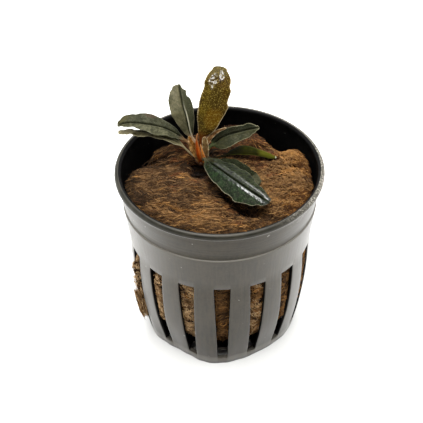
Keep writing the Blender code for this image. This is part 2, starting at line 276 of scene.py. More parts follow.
# How far the foot is out of round, in mm, by direction in degrees anticlockwise from +X.
FOOT_WARP = ((-180, 0.0), (-150, 0.2), (-138, -0.4), (-127, -0.8), (-117, -0.5), (-106, 0.4), (-99, 0.75),
             (-88, 0.5), (-77, -0.1), (-60, -0.65), (-46, -0.5), (-31, 0.0), (-10, 0.3), (60, 0.0),
             (180, 0.0))
EDGE_ROUND = 0.12
EDGE_ANGLE = math.radians(35)
SMOOTH_ANGLE = math.radians(38)
MERGE = 0.01
UNROLL_RADIUS = 0.024


def wall_radius(z):
    """Outer radius of the slotted wall in mm, from the ledge down to the foot."""
    if z >= SLOT_TOP[1]:
        t = (z - SLOT_TOP[1]) / (LEDGE[1] - SLOT_TOP[1])
        return SLOT_TOP[0] + (LEDGE[0] - SLOT_TOP[0]) * t
    t = (z - WALL_FOOT[1]) / (SLOT_TOP[1] - WALL_FOOT[1])
    return WALL_FOOT[0] + (SLOT_TOP[0] - WALL_FOOT[0]) * t + WALL_BOW * 4 * t * (1 - t)


def inner_radius(z):
    if z <= LEDGE[1] - 1.0:
        return wall_radius(z) - WALL
    t = (z - COLLAR_FOOT[1]) / (COLLAR_TOP[1] - COLLAR_FOOT[1])
    return COLLAR_FOOT[0] + (COLLAR_TOP[0] - COLLAR_FOOT[0]) * t - WALL


def curve_at(table, place):
    """Reads a table of (place, value) along a smooth step between its entries."""
    for (start, low), (end, high) in zip(table[:-1], table[1:]):
        if start <= place <= end:
            t = (place - start) / (end - start)
            return low + (high - low) * t * t * (3 - 2 * t)
    return table[-1][1]


def smooth_step(low, high, value):
    t = min(max((value - low) / (high - low), 0.0), 1.0)
    return t * t * (3 - 2 * t)


def select_faces(test):
    """In edit mode: selects just the faces that pass the test."""
    mesh = bmesh.from_edit_mesh(bpy.context.object.data)
    for face in mesh.faces:
        face.select_set(False)
    for face in mesh.faces:
        if test(face):
            face.select_set(True)
    bmesh.update_edit_mesh(bpy.context.object.data)


def select_rims(test):
    """In edit mode: selects just the open edges whose two ends both pass the test."""
    mesh = bmesh.from_edit_mesh(bpy.context.object.data)
    for face in mesh.faces:
        face.select_set(False)
    for edge in mesh.edges:
        edge.select_set(edge.is_boundary and test(edge.verts[0].co / MM) and test(edge.verts[1].co / MM))
    bmesh.update_edit_mesh(bpy.context.object.data)


slot_levels = [3.6, 5.0, 6.6, 8.4, 10.4, 12.4, 14.6, 16.8, 19.0, 21.2, 23.4, 25.4, 27.3, 29.0]
lip_middle = (RIM_RADIUS - LIP_RADIUS, POT_HEIGHT - LIP_RADIUS)
under = [(0.0, FLOOR_UNDER), (8.0, FLOOR_UNDER), (16.2, FLOOR_UNDER), (SLOT_REACH, FLOOR_UNDER),
         (FOOT_INNER, FLOOR_UNDER), (FOOT_INNER, SLOT_FOOT), (FOOT_INNER, 0.0)]
outside = [(FOOT_RADIUS, 0.0), (FOOT_RADIUS + 0.4, SLOT_FOOT)] + [(wall_radius(z), z) for z in slot_levels]
collar = [(wall_radius(z), z) for z in (31.0, 34.0, 37.0, 38.9)]
collar += [LEDGE, (LEDGE[0], LEDGE[1] + 0.12), COLLAR_FOOT, (23.9, 41.4), (24.35, 43.7), (24.78, 45.9)]
for degrees in range(-70, 181, 14):
    turn = math.radians(degrees)
    collar.append((lip_middle[0] + LIP_RADIUS * math.cos(turn), lip_middle[1] + LIP_RADIUS * math.sin(turn)))
collar_inside = [(inner_radius(z), z) for z in (46.9, 45.0, 42.0, 38.2, 34.0, 31.0)]
inside = collar_inside + [(inner_radius(z), z) for z in reversed(slot_levels)]
plate = [(SLOT_REACH, FLOOR_TOP), (16.2, FLOOR_TOP), (8.0, FLOOR_TOP), (0.0, FLOOR_TOP)]
profile = under + outside + collar + inside + plate

# Stations along the profile between which the slot is open, and their ends.
plate_under = under.index((SLOT_REACH, FLOOR_UNDER))
ring_inner = under.index((FOOT_INNER, SLOT_FOOT))
ring_outer = len(under) + 1
outer_top = len(under) + len(outside) - 1
inner_top = outer_top + len(collar) + len(collar_inside) + 1
plate_over = len(profile) - len(plate)

bpy.ops.object.select_all(action="DESELECT")
bpy.ops.mesh.primitive_grid_add(x_subdivisions=SECTOR_STEPS, y_subdivisions=len(profile) - 1, size=1.0)
net_pot = bpy.context.object
net_pot.name = "net_pot_moulding"
columns = SECTOR_STEPS + 1
first_column = (SECTOR_STEPS - 2 * SLOT_STEPS) // 2
last_column = first_column + 2 * SLOT_STEPS
half_sector = math.pi / SLOT_COUNT
for station, (radius, z) in enumerate(profile):
    height_share = min(max((z - SLOT_FOOT) / (SLOT_TOP[1] - SLOT_FOOT), 0.0), 1.0)
    half_width = SLOT_HALF_FOOT + (SLOT_HALF_TOP - SLOT_HALF_FOOT) * height_share
    slot_turn = half_width / max(wall_radius(max(z, SLOT_FOOT)), 1.0)
    for column in range(columns):
        step = column - SECTOR_STEPS // 2
        if abs(step) <= SLOT_STEPS:
            turn = slot_turn * step / SLOT_STEPS
        else:
            rest = (abs(step) - SLOT_STEPS) / (SECTOR_STEPS // 2 - SLOT_STEPS)
            turn = math.copysign(slot_turn + (half_sector - slot_turn) * rest, step)
        place = Vector((math.sin(turn) * radius, -math.cos(turn) * radius, z))
        net_pot.data.vertices[station * columns + column].co = place * MM


def opened(face):
    """True for the faces that the slot takes away, by their places in the grid."""
    stations = [vert.index // columns for vert in face.verts]
    across = [vert.index % columns for vert in face.verts]
    if min(across) < first_column or max(across) > last_column:
        return False
    spans = ((plate_under, ring_inner), (ring_outer, outer_top), (inner_top, plate_over))
    return any(low <= min(stations) and max(stations) <= high for low, high in spans)


def near(value, wanted):
    return abs(value - wanted) < 0.01


def on_slot_side(place, side):
    turn = math.atan2(place.x, -place.y)
    in_sector = place.x * side > 0.3 and abs(turn) < half_sector - 0.01
    return in_sector and Vector(place[:2]).length > SLOT_REACH - 0.1


bpy.ops.object.mode_set(mode="EDIT")
select_faces(opened)
bpy.ops.mesh.delete(type="FACE")
select_rims(lambda place: near(place.z, SLOT_TOP[1]))
bpy.ops.mesh.bridge_edge_loops()
select_rims(lambda place: near(Vector(place[:2]).length, SLOT_REACH))
bpy.ops.mesh.bridge_edge_loops()
select_rims(lambda place: near(place.z, SLOT_FOOT))
bpy.ops.mesh.bridge_edge_loops()
for side in (-1, 1):
    select_rims(lambda place: on_slot_side(place, side))
    bpy.ops.mesh.edge_face_add()
bpy.ops.mesh.select_all(action="SELECT")
bpy.ops.mesh.spin(steps=SLOT_COUNT - 1, angle=2 * math.pi * (SLOT_COUNT - 1) / SLOT_COUNT, dupli=True,
                  center=(0, 0, 0), axis=(0, 0, 1))
bpy.ops.mesh.select_all(action="SELECT")
bpy.ops.mesh.remove_doubles(threshold=MERGE * MM)
bpy.ops.mesh.normals_make_consistent(inside=False)
bpy.ops.object.mode_set(mode="OBJECT")
edges = net_pot.modifiers.new("edges", "BEVEL")
edges.width = EDGE_ROUND * MM
edges.segments = 2
edges.limit_method = "ANGLE"
edges.angle_limit = EDGE_ANGLE
bpy.ops.object.modifier_apply(modifier="edges")

# Which faces take which of the four paints, by their places before the pot is set out of true.
ON_WALL, ON_INSIDE, ON_LIP, ON_COLLAR = range(4)
face_parts = []
for face in net_pot.data.polygons:
    middle = face.center / MM
    radius = Vector(middle[:2]).length
    wall_inside = radius < inner_radius(middle.z) + 0.4 and FLOOR_TOP - 0.2 < middle.z < COLLAR_TOP[1]
    lip_inside = middle.z >= COLLAR_TOP[1] and radius < lip_middle[0] - 0.1
    if wall_inside or lip_inside:
        face_parts.append(ON_INSIDE)
    elif middle.z > lip_middle[1] - 0.3:
        face_parts.append(ON_LIP)
    else:
        face_parts.append(ON_COLLAR if middle.z > COLLAR_FOOT[1] else ON_WALL)
for vert in net_pot.data.vertices:
    x, y, z = vert.co / MM
    degrees = math.degrees(math.atan2(y, x))
    warp = curve_at(FOOT_WARP, degrees) * (1.0 - smooth_step(1.0, 15.0, z))
    radius = math.hypot(x, y)
    if radius > SLOT_REACH - 1.0:
        vert.co.x += x / radius * warp * MM
        vert.co.y += y / radius * warp * MM
bpy.ops.object.shade_smooth_by_angle(angle=SMOOTH_ANGLE)


def turn_round_pot(place):
    """A place's direction from the pot's axis, in radians anticlockwise from +X."""
    return place.maths("ARCTAN2", place.axis("Y"), place.axis("X"))


def plastic_paint(name, specular, sheen):
    """Black plastic: drag marks, pale specks, a scuffed side, a painted highlight along the ledge and a
    painted sheen at the foot.
    """
    skin = Paint(name, Specular_IOR_Level=specular, Specular_Tint=(1.0, 0.94, 0.86, 1.0),
                 Sheen_Weight=sheen, Sheen_Roughness=0.4)
    place = skin.place()
    height = place.axis("Z")
    turn = turn_round_pot(place)
    unrolled = skin.node("ShaderNodeCombineXYZ", {}, turn * UNROLL_RADIUS, height, 0.0)
    rings = skin.noise(skin.stretched(unrolled, (90.0, 1900.0, 1.0)), 1.0, 3.0, 0.6)
    drags = skin.noise(skin.stretched(unrolled, (1300.0, 110.0, 1.0)), 1.0, 3.0, 0.6)
    clouds = skin.noise(place, 190.0, 3.0, 0.6)
    on_collar = skin.level(height, 37 * MM, 40 * MM)
    grain = rings * on_collar + drags * (1.0 - on_collar)
    mottle = skin.noise(place, 1500.0, 2.0, 0.7)
    tone = skin.level(grain * 0.4 + clouds * 0.3 + mottle * 0.3, 0.32, 0.68)
    colour = skin.ramp(tone, (0.0, (0.007, 0.006, 0.003)), (1.0, (0.034, 0.027, 0.017)))
    dust = skin.noise(place, 2400.0, 1.0, 0.5)
    worn = skin.level(turn, -0.95, -0.35) * skin.level(turn, 0.55, 0.0) * skin.level(height, 43 * MM, 46 * MM)
    scuffed = skin.level(dust, 0.52, 0.60) * worn * skin.level(clouds, 0.42, 0.55)
    colour = skin.mix(scuffed, colour, (0.34, 0.33, 0.30))
    specks = skin.level(skin.noise(place, 1100.0, 0.0, 0.0), 0.84, 0.87)
    colour = skin.mix(specks, colour, (0.20, 0.19, 0.17))
    # Painted highlight: a pale line along the ledge, where it catches the light.
    ledge_highlight = skin.level(height, 39.18 * MM, 39.26 * MM) * skin.level(height, 39.52 * MM, 39.46 * MM)
    colour = skin.mix(ledge_highlight * 0.9, colour, (0.15, 0.14, 0.12))
    # Painted sheen: the foot is lighter in a band, standing in for its reflection of the table.
    foot_sheen = skin.level(height, 0.4 * MM, 1.2 * MM) * skin.level(height, 3.2 * MM, 2.2 * MM)
    colour = skin.mix(foot_sheen * 0.6, colour, (0.14, 0.13, 0.11))
    skin.feed("Base Color", colour)
    skin.feed("Roughness", 0.30 + tone * 0.14)
    skin.feed("Normal", skin.bump(grain + clouds, 0.05 * MM, 0.5))
    return skin.material


pot_lip = Paint("pot_lip", Specular_IOR_Level=0.22, Specular_Tint=(1.0, 0.95, 0.88, 1.0))
lip_place = pot_lip.place()
lip_turn = turn_round_pot(lip_place)
# On the lip's right side: a lighter band that is painted sheen, and pale scuffs over it.
side_scuffs_and_sheen = pot_lip.level(lip_turn, -1.1, -0.4) * pot_lip.level(lip_turn, 0.7, 0.1)
grit = pot_lip.level(pot_lip.noise(lip_place, 2000.0, 2.0, 0.6), 0.50, 0.62)
lip_cloud = pot_lip.noise(lip_place, 300.0, 2.0, 0.5)
lip_tint = pot_lip.ramp(lip_cloud, (0.3, (0.005, 0.005, 0.003)), (0.7, (0.020, 0.018, 0.012)))
lip_tint = pot_lip.mix(side_scuffs_and_sheen * 0.75, lip_tint, (0.07, 0.064, 0.052))
# Painted highlight: the back of the lip is lighter.
lip_back_highlight = pot_lip.level(lip_place.axis("Y"), 6 * MM, 16 * MM)
lip_tint = pot_lip.mix(lip_back_highlight * 0.6, lip_tint, (0.13, 0.12, 0.10))
pot_lip.feed("Base Color", pot_lip.mix(side_scuffs_and_sheen * grit * 0.8, lip_tint, (0.30, 0.28, 0.24)))
pot_lip.feed("Roughness", 0.28 + lip_cloud * 0.2)

# Painted shade: the inside is the same black plastic painted near black, for the shade inside the pot, with
# pale drops on it.
pot_inside = Paint("pot_inside", Roughness=0.45, Specular_IOR_Level=0.06)
inside_place = pot_inside.place()
inside_mottle = pot_inside.noise(inside_place, 420.0, 3.0, 0.6)
drops = pot_inside.level(pot_inside.noise(inside_place, 1500.0, 1.0, 0.4), 0.74, 0.78)
inner_tint = pot_inside.ramp(inside_mottle, (0.35, (0.0008, 0.0008, 0.0010)), (0.75, (0.0035, 0.0032, 0.0030)))
pot_inside.feed("Base Color", pot_inside.mix(drops, inner_tint, (0.03, 0.03, 0.028)))

net_pot.data.materials.append(plastic_paint("pot_plastic", 0.4, 0.35))
net_pot.data.materials.append(pot_inside.material)
net_pot.data.materials.append(pot_lip.material)
net_pot.data.materials.append(plastic_paint("pot_collar", 0.22, 0.22))
net_pot.data.polygons.foreach_set("material_index", face_parts)
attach(net_pot, "root")
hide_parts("net_pot")


# The mineral wool: one plug of brown, damp, felted fibre that the pot was packed with. Its torn top
# has lumps, a slit, a valley and the planting hollow, and it swells a little through the slots.
VOXEL = 0.36
STREAK_REACH = 1.6
# Which way the fibres lie on the top: x and y in mm, degrees anticlockwise from +X, reach in mm.
TOP_FLOW = ((-14, -4, -6, 8), (-10, 1, -14, 5), (-16, 9, 28, 6), (-9, 9, 22, 5), (-12, 14, 40, 5),
            (-8, -12, 20, 6), (-15, -12, -35, 4), (0, -17, -15, 6), (6, -11, -32, 4), (12, -10, 24, 5),
            (15, -4, 10, 6), (16, 4, -25, 6), (8, 12, -20, 6), (3, 18, -30, 6), (0, -4, -22, 5))
# Cuts torn in the top: where they start and end in mm, half-width at each end and depth.
CUTS = (((-20.2, 4.6), (-9.8, 8.9), 1.2, 0.3, 2.6), ((-1.8, -7.8), (1.8, -8.1), 0.35, 0.5, 1.2),
        ((-16.9, -3.5), (-15.1, -4.3), 0.3, 0.4, 1.0), ((-14.7, -4.8), (-12.6, -5.1), 0.45, 0.35, 1.1),
        ((-14.9, -0.7), (-10.4, -1.0), 0.22, 0.3, 0.8), ((13.8, -5.5), (16.4, -5.2), 0.3, 0.35, 1.0),
        ((17.2, 2.9), (20.0, 1.8), 0.4, 0.5, 1.1), ((1.5, -7.3), (5.4, -13.4), 1.6, 2.2, 0.9),
        ((5.4, -13.4), (13.4, -17.6), 2.0, 1.0, 0.6), ((-11.4, 4.2), (-7.0, 3.0), 0.6, 1.4, 0.8))
# Dents and swellings: middle, half-axes and height in mm.
MOUNDS = (((-4.6, 1.7), (4.8, 3.8), -1.9), ((-4.2, 5.0), (4.2, 4.0), -0.8), ((18.6, 5.6), (2.6, 3.0), 0.5),
          ((-10.6, -13.2), (2.6, 1.8), -0.35), ((7.5, 13.0), (4.5, 3.2), 0.3))


def flow_angle(x, y):
    """Direction of the fibres on the plug's top, in radians; x and y are arrays in mm."""
    cosine = np.zeros_like(x)
    sine = np.zeros_like(x)
    for middle_x, middle_y, degrees, reach in TOP_FLOW:
        weight = np.exp(-((x - middle_x) ** 2 + (y - middle_y) ** 2) / (2 * reach ** 2)) + 1e-6
        cosine += weight * math.cos(math.radians(2 * degrees))
        sine += weight * math.sin(math.radians(2 * degrees))
    return np.arctan2(sine, cosine) / 2


def streak(place, angle, size):
    """Noise drawn out along a direction in the level plane, as combed fibre is."""
    along = Vector((math.cos(angle), math.sin(angle), 0.0))
    total = 0.0
    for step in range(-3, 4):
        total += noise.noise((place + along * (step * STREAK_REACH / 3)) / size)
    return total / 3.2


def torn_relief(x, y):
    """Height in mm that the cuts, dents and mounds add to the top at a place."""
    rise = 0.0
    point = Vector((x, y))
    for start, end, wide_start, wide_end, depth in CUTS:
        way = Vector(end) - Vector(start)
        t = min(max((point - Vector(start)).dot(way) / way.length_squared, 0.0), 1.0)
        away = (point - Vector(start) - way * t).length / (wide_start + (wide_end - wide_start) * t)
        rise -= depth * (1.0 - smooth_step(0.3, 1.3, away))
    for middle, half_axes, height in MOUNDS:
        away = math.hypot((x - middle[0]) / half_axes[0], (y - middle[1]) / half_axes[1])
        rise += height * (1.0 - smooth_step(0.4, 1.1, away))
    return rise


def welded_copy(node, name):
    """Copies a CAD solid and joins its triangles. The copy stays in edit mode, all selected."""
    bpy.ops.object.select_all(action="DESELECT")
    copied = bpy.data.objects.new(name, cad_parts[node].data.copy())
    bpy.context.scene.collection.objects.link(copied)
    copied.data.materials.clear()
    bpy.context.view_layer.objects.active = copied
    copied.select_set(True)
    bpy.ops.object.mode_set(mode="EDIT")
    bpy.ops.mesh.select_all(action="SELECT")
    bpy.ops.mesh.remove_doubles(threshold=MERGE * MM)
    return copied


plug = welded_copy("rock_wool", "wool_plug")
bpy.ops.object.mode_set(mode="OBJECT")
cells = plug.modifiers.new("cells", "REMESH")
cells.mode = "VOXEL"
cells.voxel_size = VOXEL * MM
bpy.ops.object.modifier_apply(modifier="cells")
soften = plug.modifiers.new("soften", "SMOOTH")
soften.factor = 0.5
soften.iterations = 3
bpy.ops.object.modifier_apply(modifier="soften")

tones = []
normals = [vert.normal.copy() for vert in plug.data.vertices]
places = np.array([vert.co for vert in plug.data.vertices]) / MM
angles = flow_angle(places[:, 0], places[:, 1])
for vert, normal, angle in zip(plug.data.vertices, normals, angles):
    place = vert.co / MM
    lumps = noise.noise(place / 3.1) * 0.30 + noise.noise(place / 1.3 + Vector((7, 3, 1))) * 0.20
    if normal.z > 0.5:
        lines = streak(place, angle, 0.55)
        lift = lumps + 0.36 * lines
        vert.co.z += torn_relief(place.x, place.y) * smooth_step(0.5, 0.8, normal.z) * MM
    else:
        turned = math.atan2(place.y, place.x)
        lines = noise.noise(Vector((turned * 30.0, place.z / 0.9, 2.0))) * 0.8
        lines += 0.5 * noise.noise(place / 0.6)
        lift = lumps * 0.8 + 0.18 * lines
    # Painted shade: the tone is darker where the top is sunk, in the cuts and the hollow.
    sunk = torn_relief(place.x, place.y) if normal.z > 0.5 else 0.0
    tones.append(lines * 0.5 + 0.5 + 0.3 * min(max(sunk, -1.5), 0.0))
    vert.co += normal * lift * MM
tone = plug.data.attributes.new("tone", "FLOAT", "POINT")
tone.data.foreach_set("value", tones)
bpy.ops.object.shade_smooth()

# Painted shade: the plug is painted darker than the loose fibres, for the shade in the gaps between them.
wool = Paint("mineral_wool", Roughness=0.95, Specular_IOR_Level=0.1)
place = wool.place()
fine = wool.noise(place, 2600.0, 3.0, 0.65)
broad = wool.noise(place, 260.0, 2.0, 0.5)
attribute = wool.node("ShaderNodeAttribute", {"attribute_name": "tone"}, output=2)
shade = wool.level(fine * 0.5 + broad * 0.35 + attribute * 0.35, 0.28, 0.92)
wool.feed("Base Color", wool.ramp(shade, (0.0, (0.005, 0.0025, 0.001)), (0.45, (0.016, 0.007, 0.002)),
                                  (0.8, (0.045, 0.021, 0.007)), (1.0, (0.10, 0.052, 0.018))))
wool.feed("Normal", wool.bump(fine, 0.25 * MM, 0.8))
plug.data.materials.append(wool.material)
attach(plug, "root")
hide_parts("rock_wool")


# The loose fibres of the wool: short strands that lie in tufts over the plug's top and in the slots,
# and a torn flap of them that hangs out of one slot on the left. Each is a closed spindle of
# eighteen triangles, and its tint is its place in a strip of tints.
FIBRE_SHARES = (0.0, 0.22, 0.5, 0.78, 1.0)
FIBRE_THICK = (0.0, 0.9, 1.0, 0.8, 0.0)
SIDES = 3
TOP_TUFTS = 2050
SIDE_TUFTS = 1500
TUFT_FIBRES = 15
TOP_SEEN_FROM = 41.0
FLAP_FIBRES = 700
FLAP_TURN = -69.5
FLAP_SPAN = (6.5, 14.0)
# How deep a cut is in mm where strands are left out, and the share of them that are.
OPEN_DEPTH = 0.7
OPEN_SHARE = 0.8
# Where the top's mesh is divided in three, along x in mm.
THIRDS = (-6.5, 5.5)
# Heights in mm between which the wall is straight inside the collar.
COLLAR_SPAN = (38.2, 46.9)
SECTOR = 360.0 / SLOT_COUNT
UP = np.array([[0.0, 0.0, 1.0]])
# Families of tints in the strip, and where the three tints of each lie in its share.
TINTS = 6
TINT_PLACES = (0.06, 0.5, 0.94)
# How light the wool in the slots is, by degrees clockwise from the front: set slot by slot, it paints the
# light and shade that fall on each slot.
SLOT_LIGHTNESS = ((-180, 0.75), (-100, 0.85), (-68, 1.0), (-45, 1.1), (-25, 1.5), (-12, 0.8), (-4, 0.6),
                  (8, 0.66), (22, 1.1), (45, 0.72), (90, 0.75), (180, 0.75))
# Where each family of tints lies on the top: x and y in mm, family, how light it is. The shade family is
# painted shade, in the hollow, the valley and along the back edge.
ZONES = ((-15, -3, 1, 0.50), (-9, -2, 1, 0.52), (-17, -8, 1, 0.42), (-9, -8, 1, 0.5), (-16, -12, 2, 0.56),
         (-10, -17, 2, 0.58), (-3, -19, 2, 0.52), (-2, -12, 2, 0.55), (3, -17, 2, 0.48),
         (10, -18, 2, 0.46), (4, -10, 0, 0.55), (7, -14, 0, 0.6), (11, -13, 2, 0.5), (14, -9, 2, 0.76),
         (18, -10, 4, 0.6), (18, -3, 2, 0.8), (12, -2, 2, 0.7), (8, 2, 2, 0.6), (14, 3, 2, 0.52),
         (18.6, 6, 4, 1.0), (17.0, 7.5, 4, 1.0), (19, 2.4, 4, 0.7), (4, 4, 2, 0.5), (5, 9, 3, 0.12),
         (10, 10, 4, 0.08), (2, 14, 3, 0.12), (9, 14, 3, 0.08), (11, 7, 3, 0.2), (-2, 19, 0, 0.4),
         (-9, 9, 3, 0.45), (-12, 12, 1, 0.3), (-16, 8, 1, 0.34), (-10, 6, 1, 0.34), (-5, 3, 0, 0.05),
         (-4, 7, 0, 0.2), (-3, 0.5, 0, 0.2), (-2, -3, 1, 0.42), (2, -6, 0, 0.5))
# The strip of tints, dark to light in each family: painted shade, grey-brown, tan, reddish, orange, bleached.
TINT_STRIP = ((0.004, 0.002, 0.001), (0.026, 0.012, 0.004), (0.08, 0.041, 0.014),
              (0.008, 0.004, 0.001), (0.054, 0.026, 0.008), (0.18, 0.096, 0.037),
              (0.012, 0.005, 0.001), (0.080, 0.036, 0.009), (0.27, 0.142, 0.050),
              (0.012, 0.003, 0.001), (0.068, 0.021, 0.005), (0.20, 0.078, 0.025),
              (0.020, 0.008, 0.001), (0.135, 0.056, 0.011), (0.36, 0.175, 0.052),
              (0.055, 0.030, 0.011), (0.260, 0.150, 0.066), (0.54, 0.36, 0.19))
random = np.random.default_rng(23)


def unit(vectors):
    return vectors / np.maximum(np.linalg.norm(vectors, axis=1, keepdims=True), 1e-9)


def fibre_points(roots, ways, ups, lengths, lift):
    """Five points along each fibre, bent a little sideways and upwards."""
    count = len(roots)
    sideways = np.cross(ups, ways)
    curl = random.normal(0.0, 0.16, count) * lengths
    tilt = random.normal(0.0, 0.07, count)
    arch = np.abs(random.normal(0.0, 0.05, count)) * lengths
    points = np.empty((count, 5, 3))
    for k, share in enumerate(FIBRE_SHARES):
        s = share - 0.5
        points[:, k] = (roots + ways * (s * lengths)[:, None] + sideways * (curl * (4 * s * s - 0.5))[:, None]
                        + ups * (lift + arch * (1 - 4 * s * s) + tilt * s * lengths)[:, None])
    return points


def fibre_piece(name, points, radii, tints):
    """Makes one mesh of closed three-sided spindles, with a tint strip as its UV map."""
    count = len(points)
    along = unit(points[:, 4] - points[:, 0])
    first = unit(np.cross(along, np.array([[0.31, 0.17, 0.93]])))
    second = np.cross(along, first)
    verts = np.empty((count, 11, 3))
    verts[:, 0] = points[:, 0]
    verts[:, 10] = points[:, 4]
    for ring in range(3):
        for side in range(SIDES):
            turn = 2 * math.pi * side / SIDES
            reach = (radii * FIBRE_THICK[ring + 1])[:, None]
            verts[:, 1 + ring * SIDES + side] = (points[:, ring + 1] + first * reach * math.cos(turn)
                                                 + second * reach * math.sin(turn))
    corners = []
    shares = []
    for side in range(SIDES):
        after = (side + 1) % SIDES
        here, beyond = side / SIDES, (side + 1) / SIDES
        corners += [(0, 1 + after, 1 + side), (10, 7 + side, 7 + after)]
        shares += [((here, 0.0), (beyond, 0.22), (here, 0.22)), ((here, 1.0), (here, 0.78), (beyond, 0.78))]
        for ring in range(2):
            a, b = 1 + ring * SIDES + side, 1 + ring * SIDES + after
            low, high = FIBRE_SHARES[ring + 1], FIBRE_SHARES[ring + 2]
            corners += [(a, b, b + SIDES), (a, b + SIDES, a + SIDES)]
            shares += [((here, low), (beyond, low), (beyond, high)),
                       ((here, low), (beyond, high), (here, high))]
    corners = np.array(corners)
    shares = np.array(shares)
    loops = (corners[None] + (np.arange(count) * 11)[:, None, None]).reshape(-1)
    mesh = bpy.data.meshes.new(name)
    mesh.vertices.add(count * 11)
    mesh.vertices.foreach_set("co", (verts * MM).reshape(-1))
    mesh.loops.add(len(loops))
    mesh.loops.foreach_set("vertex_index", loops)
    faces = count * len(corners)
    mesh.polygons.add(faces)
    mesh.polygons.foreach_set("loop_start", np.arange(faces) * 3)
    mesh.update(calc_edges=True)
    strip = np.empty((count, len(corners), 3, 2))
    strip[..., 0] = tints[:, None, None] + shares[None, :, :, 0] * 0.004
    strip[..., 1] = 0.02 + 0.96 * shares[None, :, :, 1]
    mesh.uv_layers.new(name="OFBake").data.foreach_set("uv", strip.reshape(-1))
    mesh.polygons.foreach_set("use_smooth", np.ones(faces, dtype=bool))
    piece = bpy.data.objects.new(name, mesh)
    bpy.context.scene.collection.objects.link(piece)
    piece.data.materials.append(fibre_paint.material)
    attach(piece, "root")


fibre_paint = Paint("wool_fibres", Roughness=0.85, Specular_IOR_Level=0.15)
strip_place = fibre_paint.node("ShaderNodeUVMap", {"uv_map": "OFBake"})
strip_across = strip_place.axis("X")
strip_along = strip_place.axis("Y")
stops = []
for index, tint in enumerate(TINT_STRIP):
    stops.append(((index // 3 + TINT_PLACES[index % 3]) / TINTS, tint))
tint = fibre_paint.ramp(strip_across, *stops)
ends = fibre_paint.level(strip_along, 0.3, 0.0) + fibre_paint.level(strip_along, 0.75, 1.0)
fibre_paint.feed("Base Color", fibre_paint.mix(ends * 0.35, tint, (0.03, 0.015, 0.006)))

plug_places = np.empty(len(plug.data.vertices) * 3)
plug.data.vertices.foreach_get("co", plug_places)
plug_places = plug_places.reshape(-1, 3) / MM
plug_normals = np.array([vert.normal for vert in plug.data.vertices])
finder = kdtree.KDTree(len(plug_places))
for index, place in enumerate(plug_places):
    finder.insert(place, index)
finder.balance()


def on_plug(wanted):
    """The numbers of the plug's points that lie nearest to the wanted places."""
    return np.array([finder.find(place)[1] for place in wanted])


def clockwise_of(points):
    """Directions from the pot's axis, in degrees clockwise from the front."""
    return np.degrees(np.arctan2(points[..., 0], -points[..., 1]))


def slot_place(points):
    """How far points are from the middle of the nearest slot, and its half-width there, in mm."""
    from_slot = np.abs((clockwise_of(points) + SECTOR / 2) % SECTOR - SECTOR / 2)
    across = np.radians(from_slot) * np.hypot(points[..., 0], points[..., 1])
    half = np.interp(points[..., 2], [SLOT_FOOT, SLOT_TOP[1]], [SLOT_HALF_FOOT, SLOT_HALF_TOP])
    return across, half


def tint_at(family, lightness):
    return (family + np.clip(lightness, 0.02, 0.98)) / TINTS


zone_places = np.array([zone[:2] for zone in ZONES], dtype=float)
top = np.flatnonzero((plug_normals[:, 2] > 0.25) & (plug_places[:, 2] > TOP_SEEN_FROM))
seeds = random.choice(top, TOP_TUFTS)
seed_places = plug_places[seeds]
tuft_angle = flow_angle(seed_places[:, 0], seed_places[:, 1]) + random.normal(0.0, 0.38, TOP_TUFTS)
tuft = np.repeat(np.arange(TOP_TUFTS), TUFT_FIBRES)
along = np.stack([np.cos(tuft_angle), np.sin(tuft_angle), np.zeros(TOP_TUFTS)], axis=1)
beside = np.stack([-np.sin(tuft_angle), np.cos(tuft_angle), np.zeros(TOP_TUFTS)], axis=1)
wanted = (seed_places[tuft] + along[tuft] * random.normal(0.0, 0.9, (len(tuft), 1))
          + beside[tuft] * random.normal(0.0, 0.26, (len(tuft), 1)))
found = on_plug(wanted)
drift = seed_places[:, None, :2] - zone_places[None] + random.normal(0.0, 0.9, (TOP_TUFTS, 1, 2))
zone = np.argmin((drift ** 2).sum(axis=2), axis=1)
family = np.array([ZONES[k][2] for k in zone])
stray = (random.uniform(0.0, 1.0, TOP_TUFTS) < 0.2) & (seed_places[:, 0] < 15.0)
family = np.where(stray, random.choice([1, 2, 3, 4], TOP_TUFTS), family)
patch = np.array([noise.noise(Vector(place) / 2.4) for place in seed_places])
lightness = np.array([ZONES[k][3] for k in zone]) + 0.36 * patch + random.normal(-0.02, 0.18, TOP_TUFTS)
loose = np.clip((seed_places[tuft, 0] + 2.0) / 8.0, 0.0, 1.0)
angle = tuft_angle[tuft] + random.normal(0.0, 1.0, len(tuft)) * (0.24 + 0.45 * loose)
# Painted shade: tufts in the cuts and the hollow are darker.
sunk = np.array([torn_relief(place[0], place[1]) for place in seed_places])
lightness += 0.34 * np.clip(sunk, -2.0, 0.0)
# Painted shade: tufts close to the wall are darker, for the shade under the lip.
lightness -= 0.34 * np.clip((np.hypot(seed_places[:, 0], seed_places[:, 1]) - 19.0) / 2.0, 0.0, 1.0)
ups = unit(plug_normals[found] + 0.8 * UP)
flat_ways = np.stack([np.cos(angle), np.sin(angle), np.zeros(len(tuft))], axis=1)
ways = unit(flat_ways - ups * (flat_ways * ups).sum(axis=1, keepdims=True))
lengths = random.uniform(1.3, 4.2, len(tuft)) * (1.0 - 0.45 * loose)
height = random.uniform(0.0, 0.42, TOP_TUFTS)
lift = random.uniform(-0.10, 0.10, len(tuft)) + height[tuft] + 0.12 * patch[tuft]
points = fibre_points(plug_places[found], ways, ups, lengths, lift)
radii = random.uniform(0.04, 0.105, len(tuft))
tints = tint_at(family[tuft], lightness[tuft] + random.normal(0.0, 0.36, len(tuft)))
walls = np.interp(points[..., 2], COLLAR_SPAN, [inner_radius(z) for z in COLLAR_SPAN])
inside_pot = (np.hypot(points[..., 0], points[..., 1]) < walls - 0.12).all(axis=1)
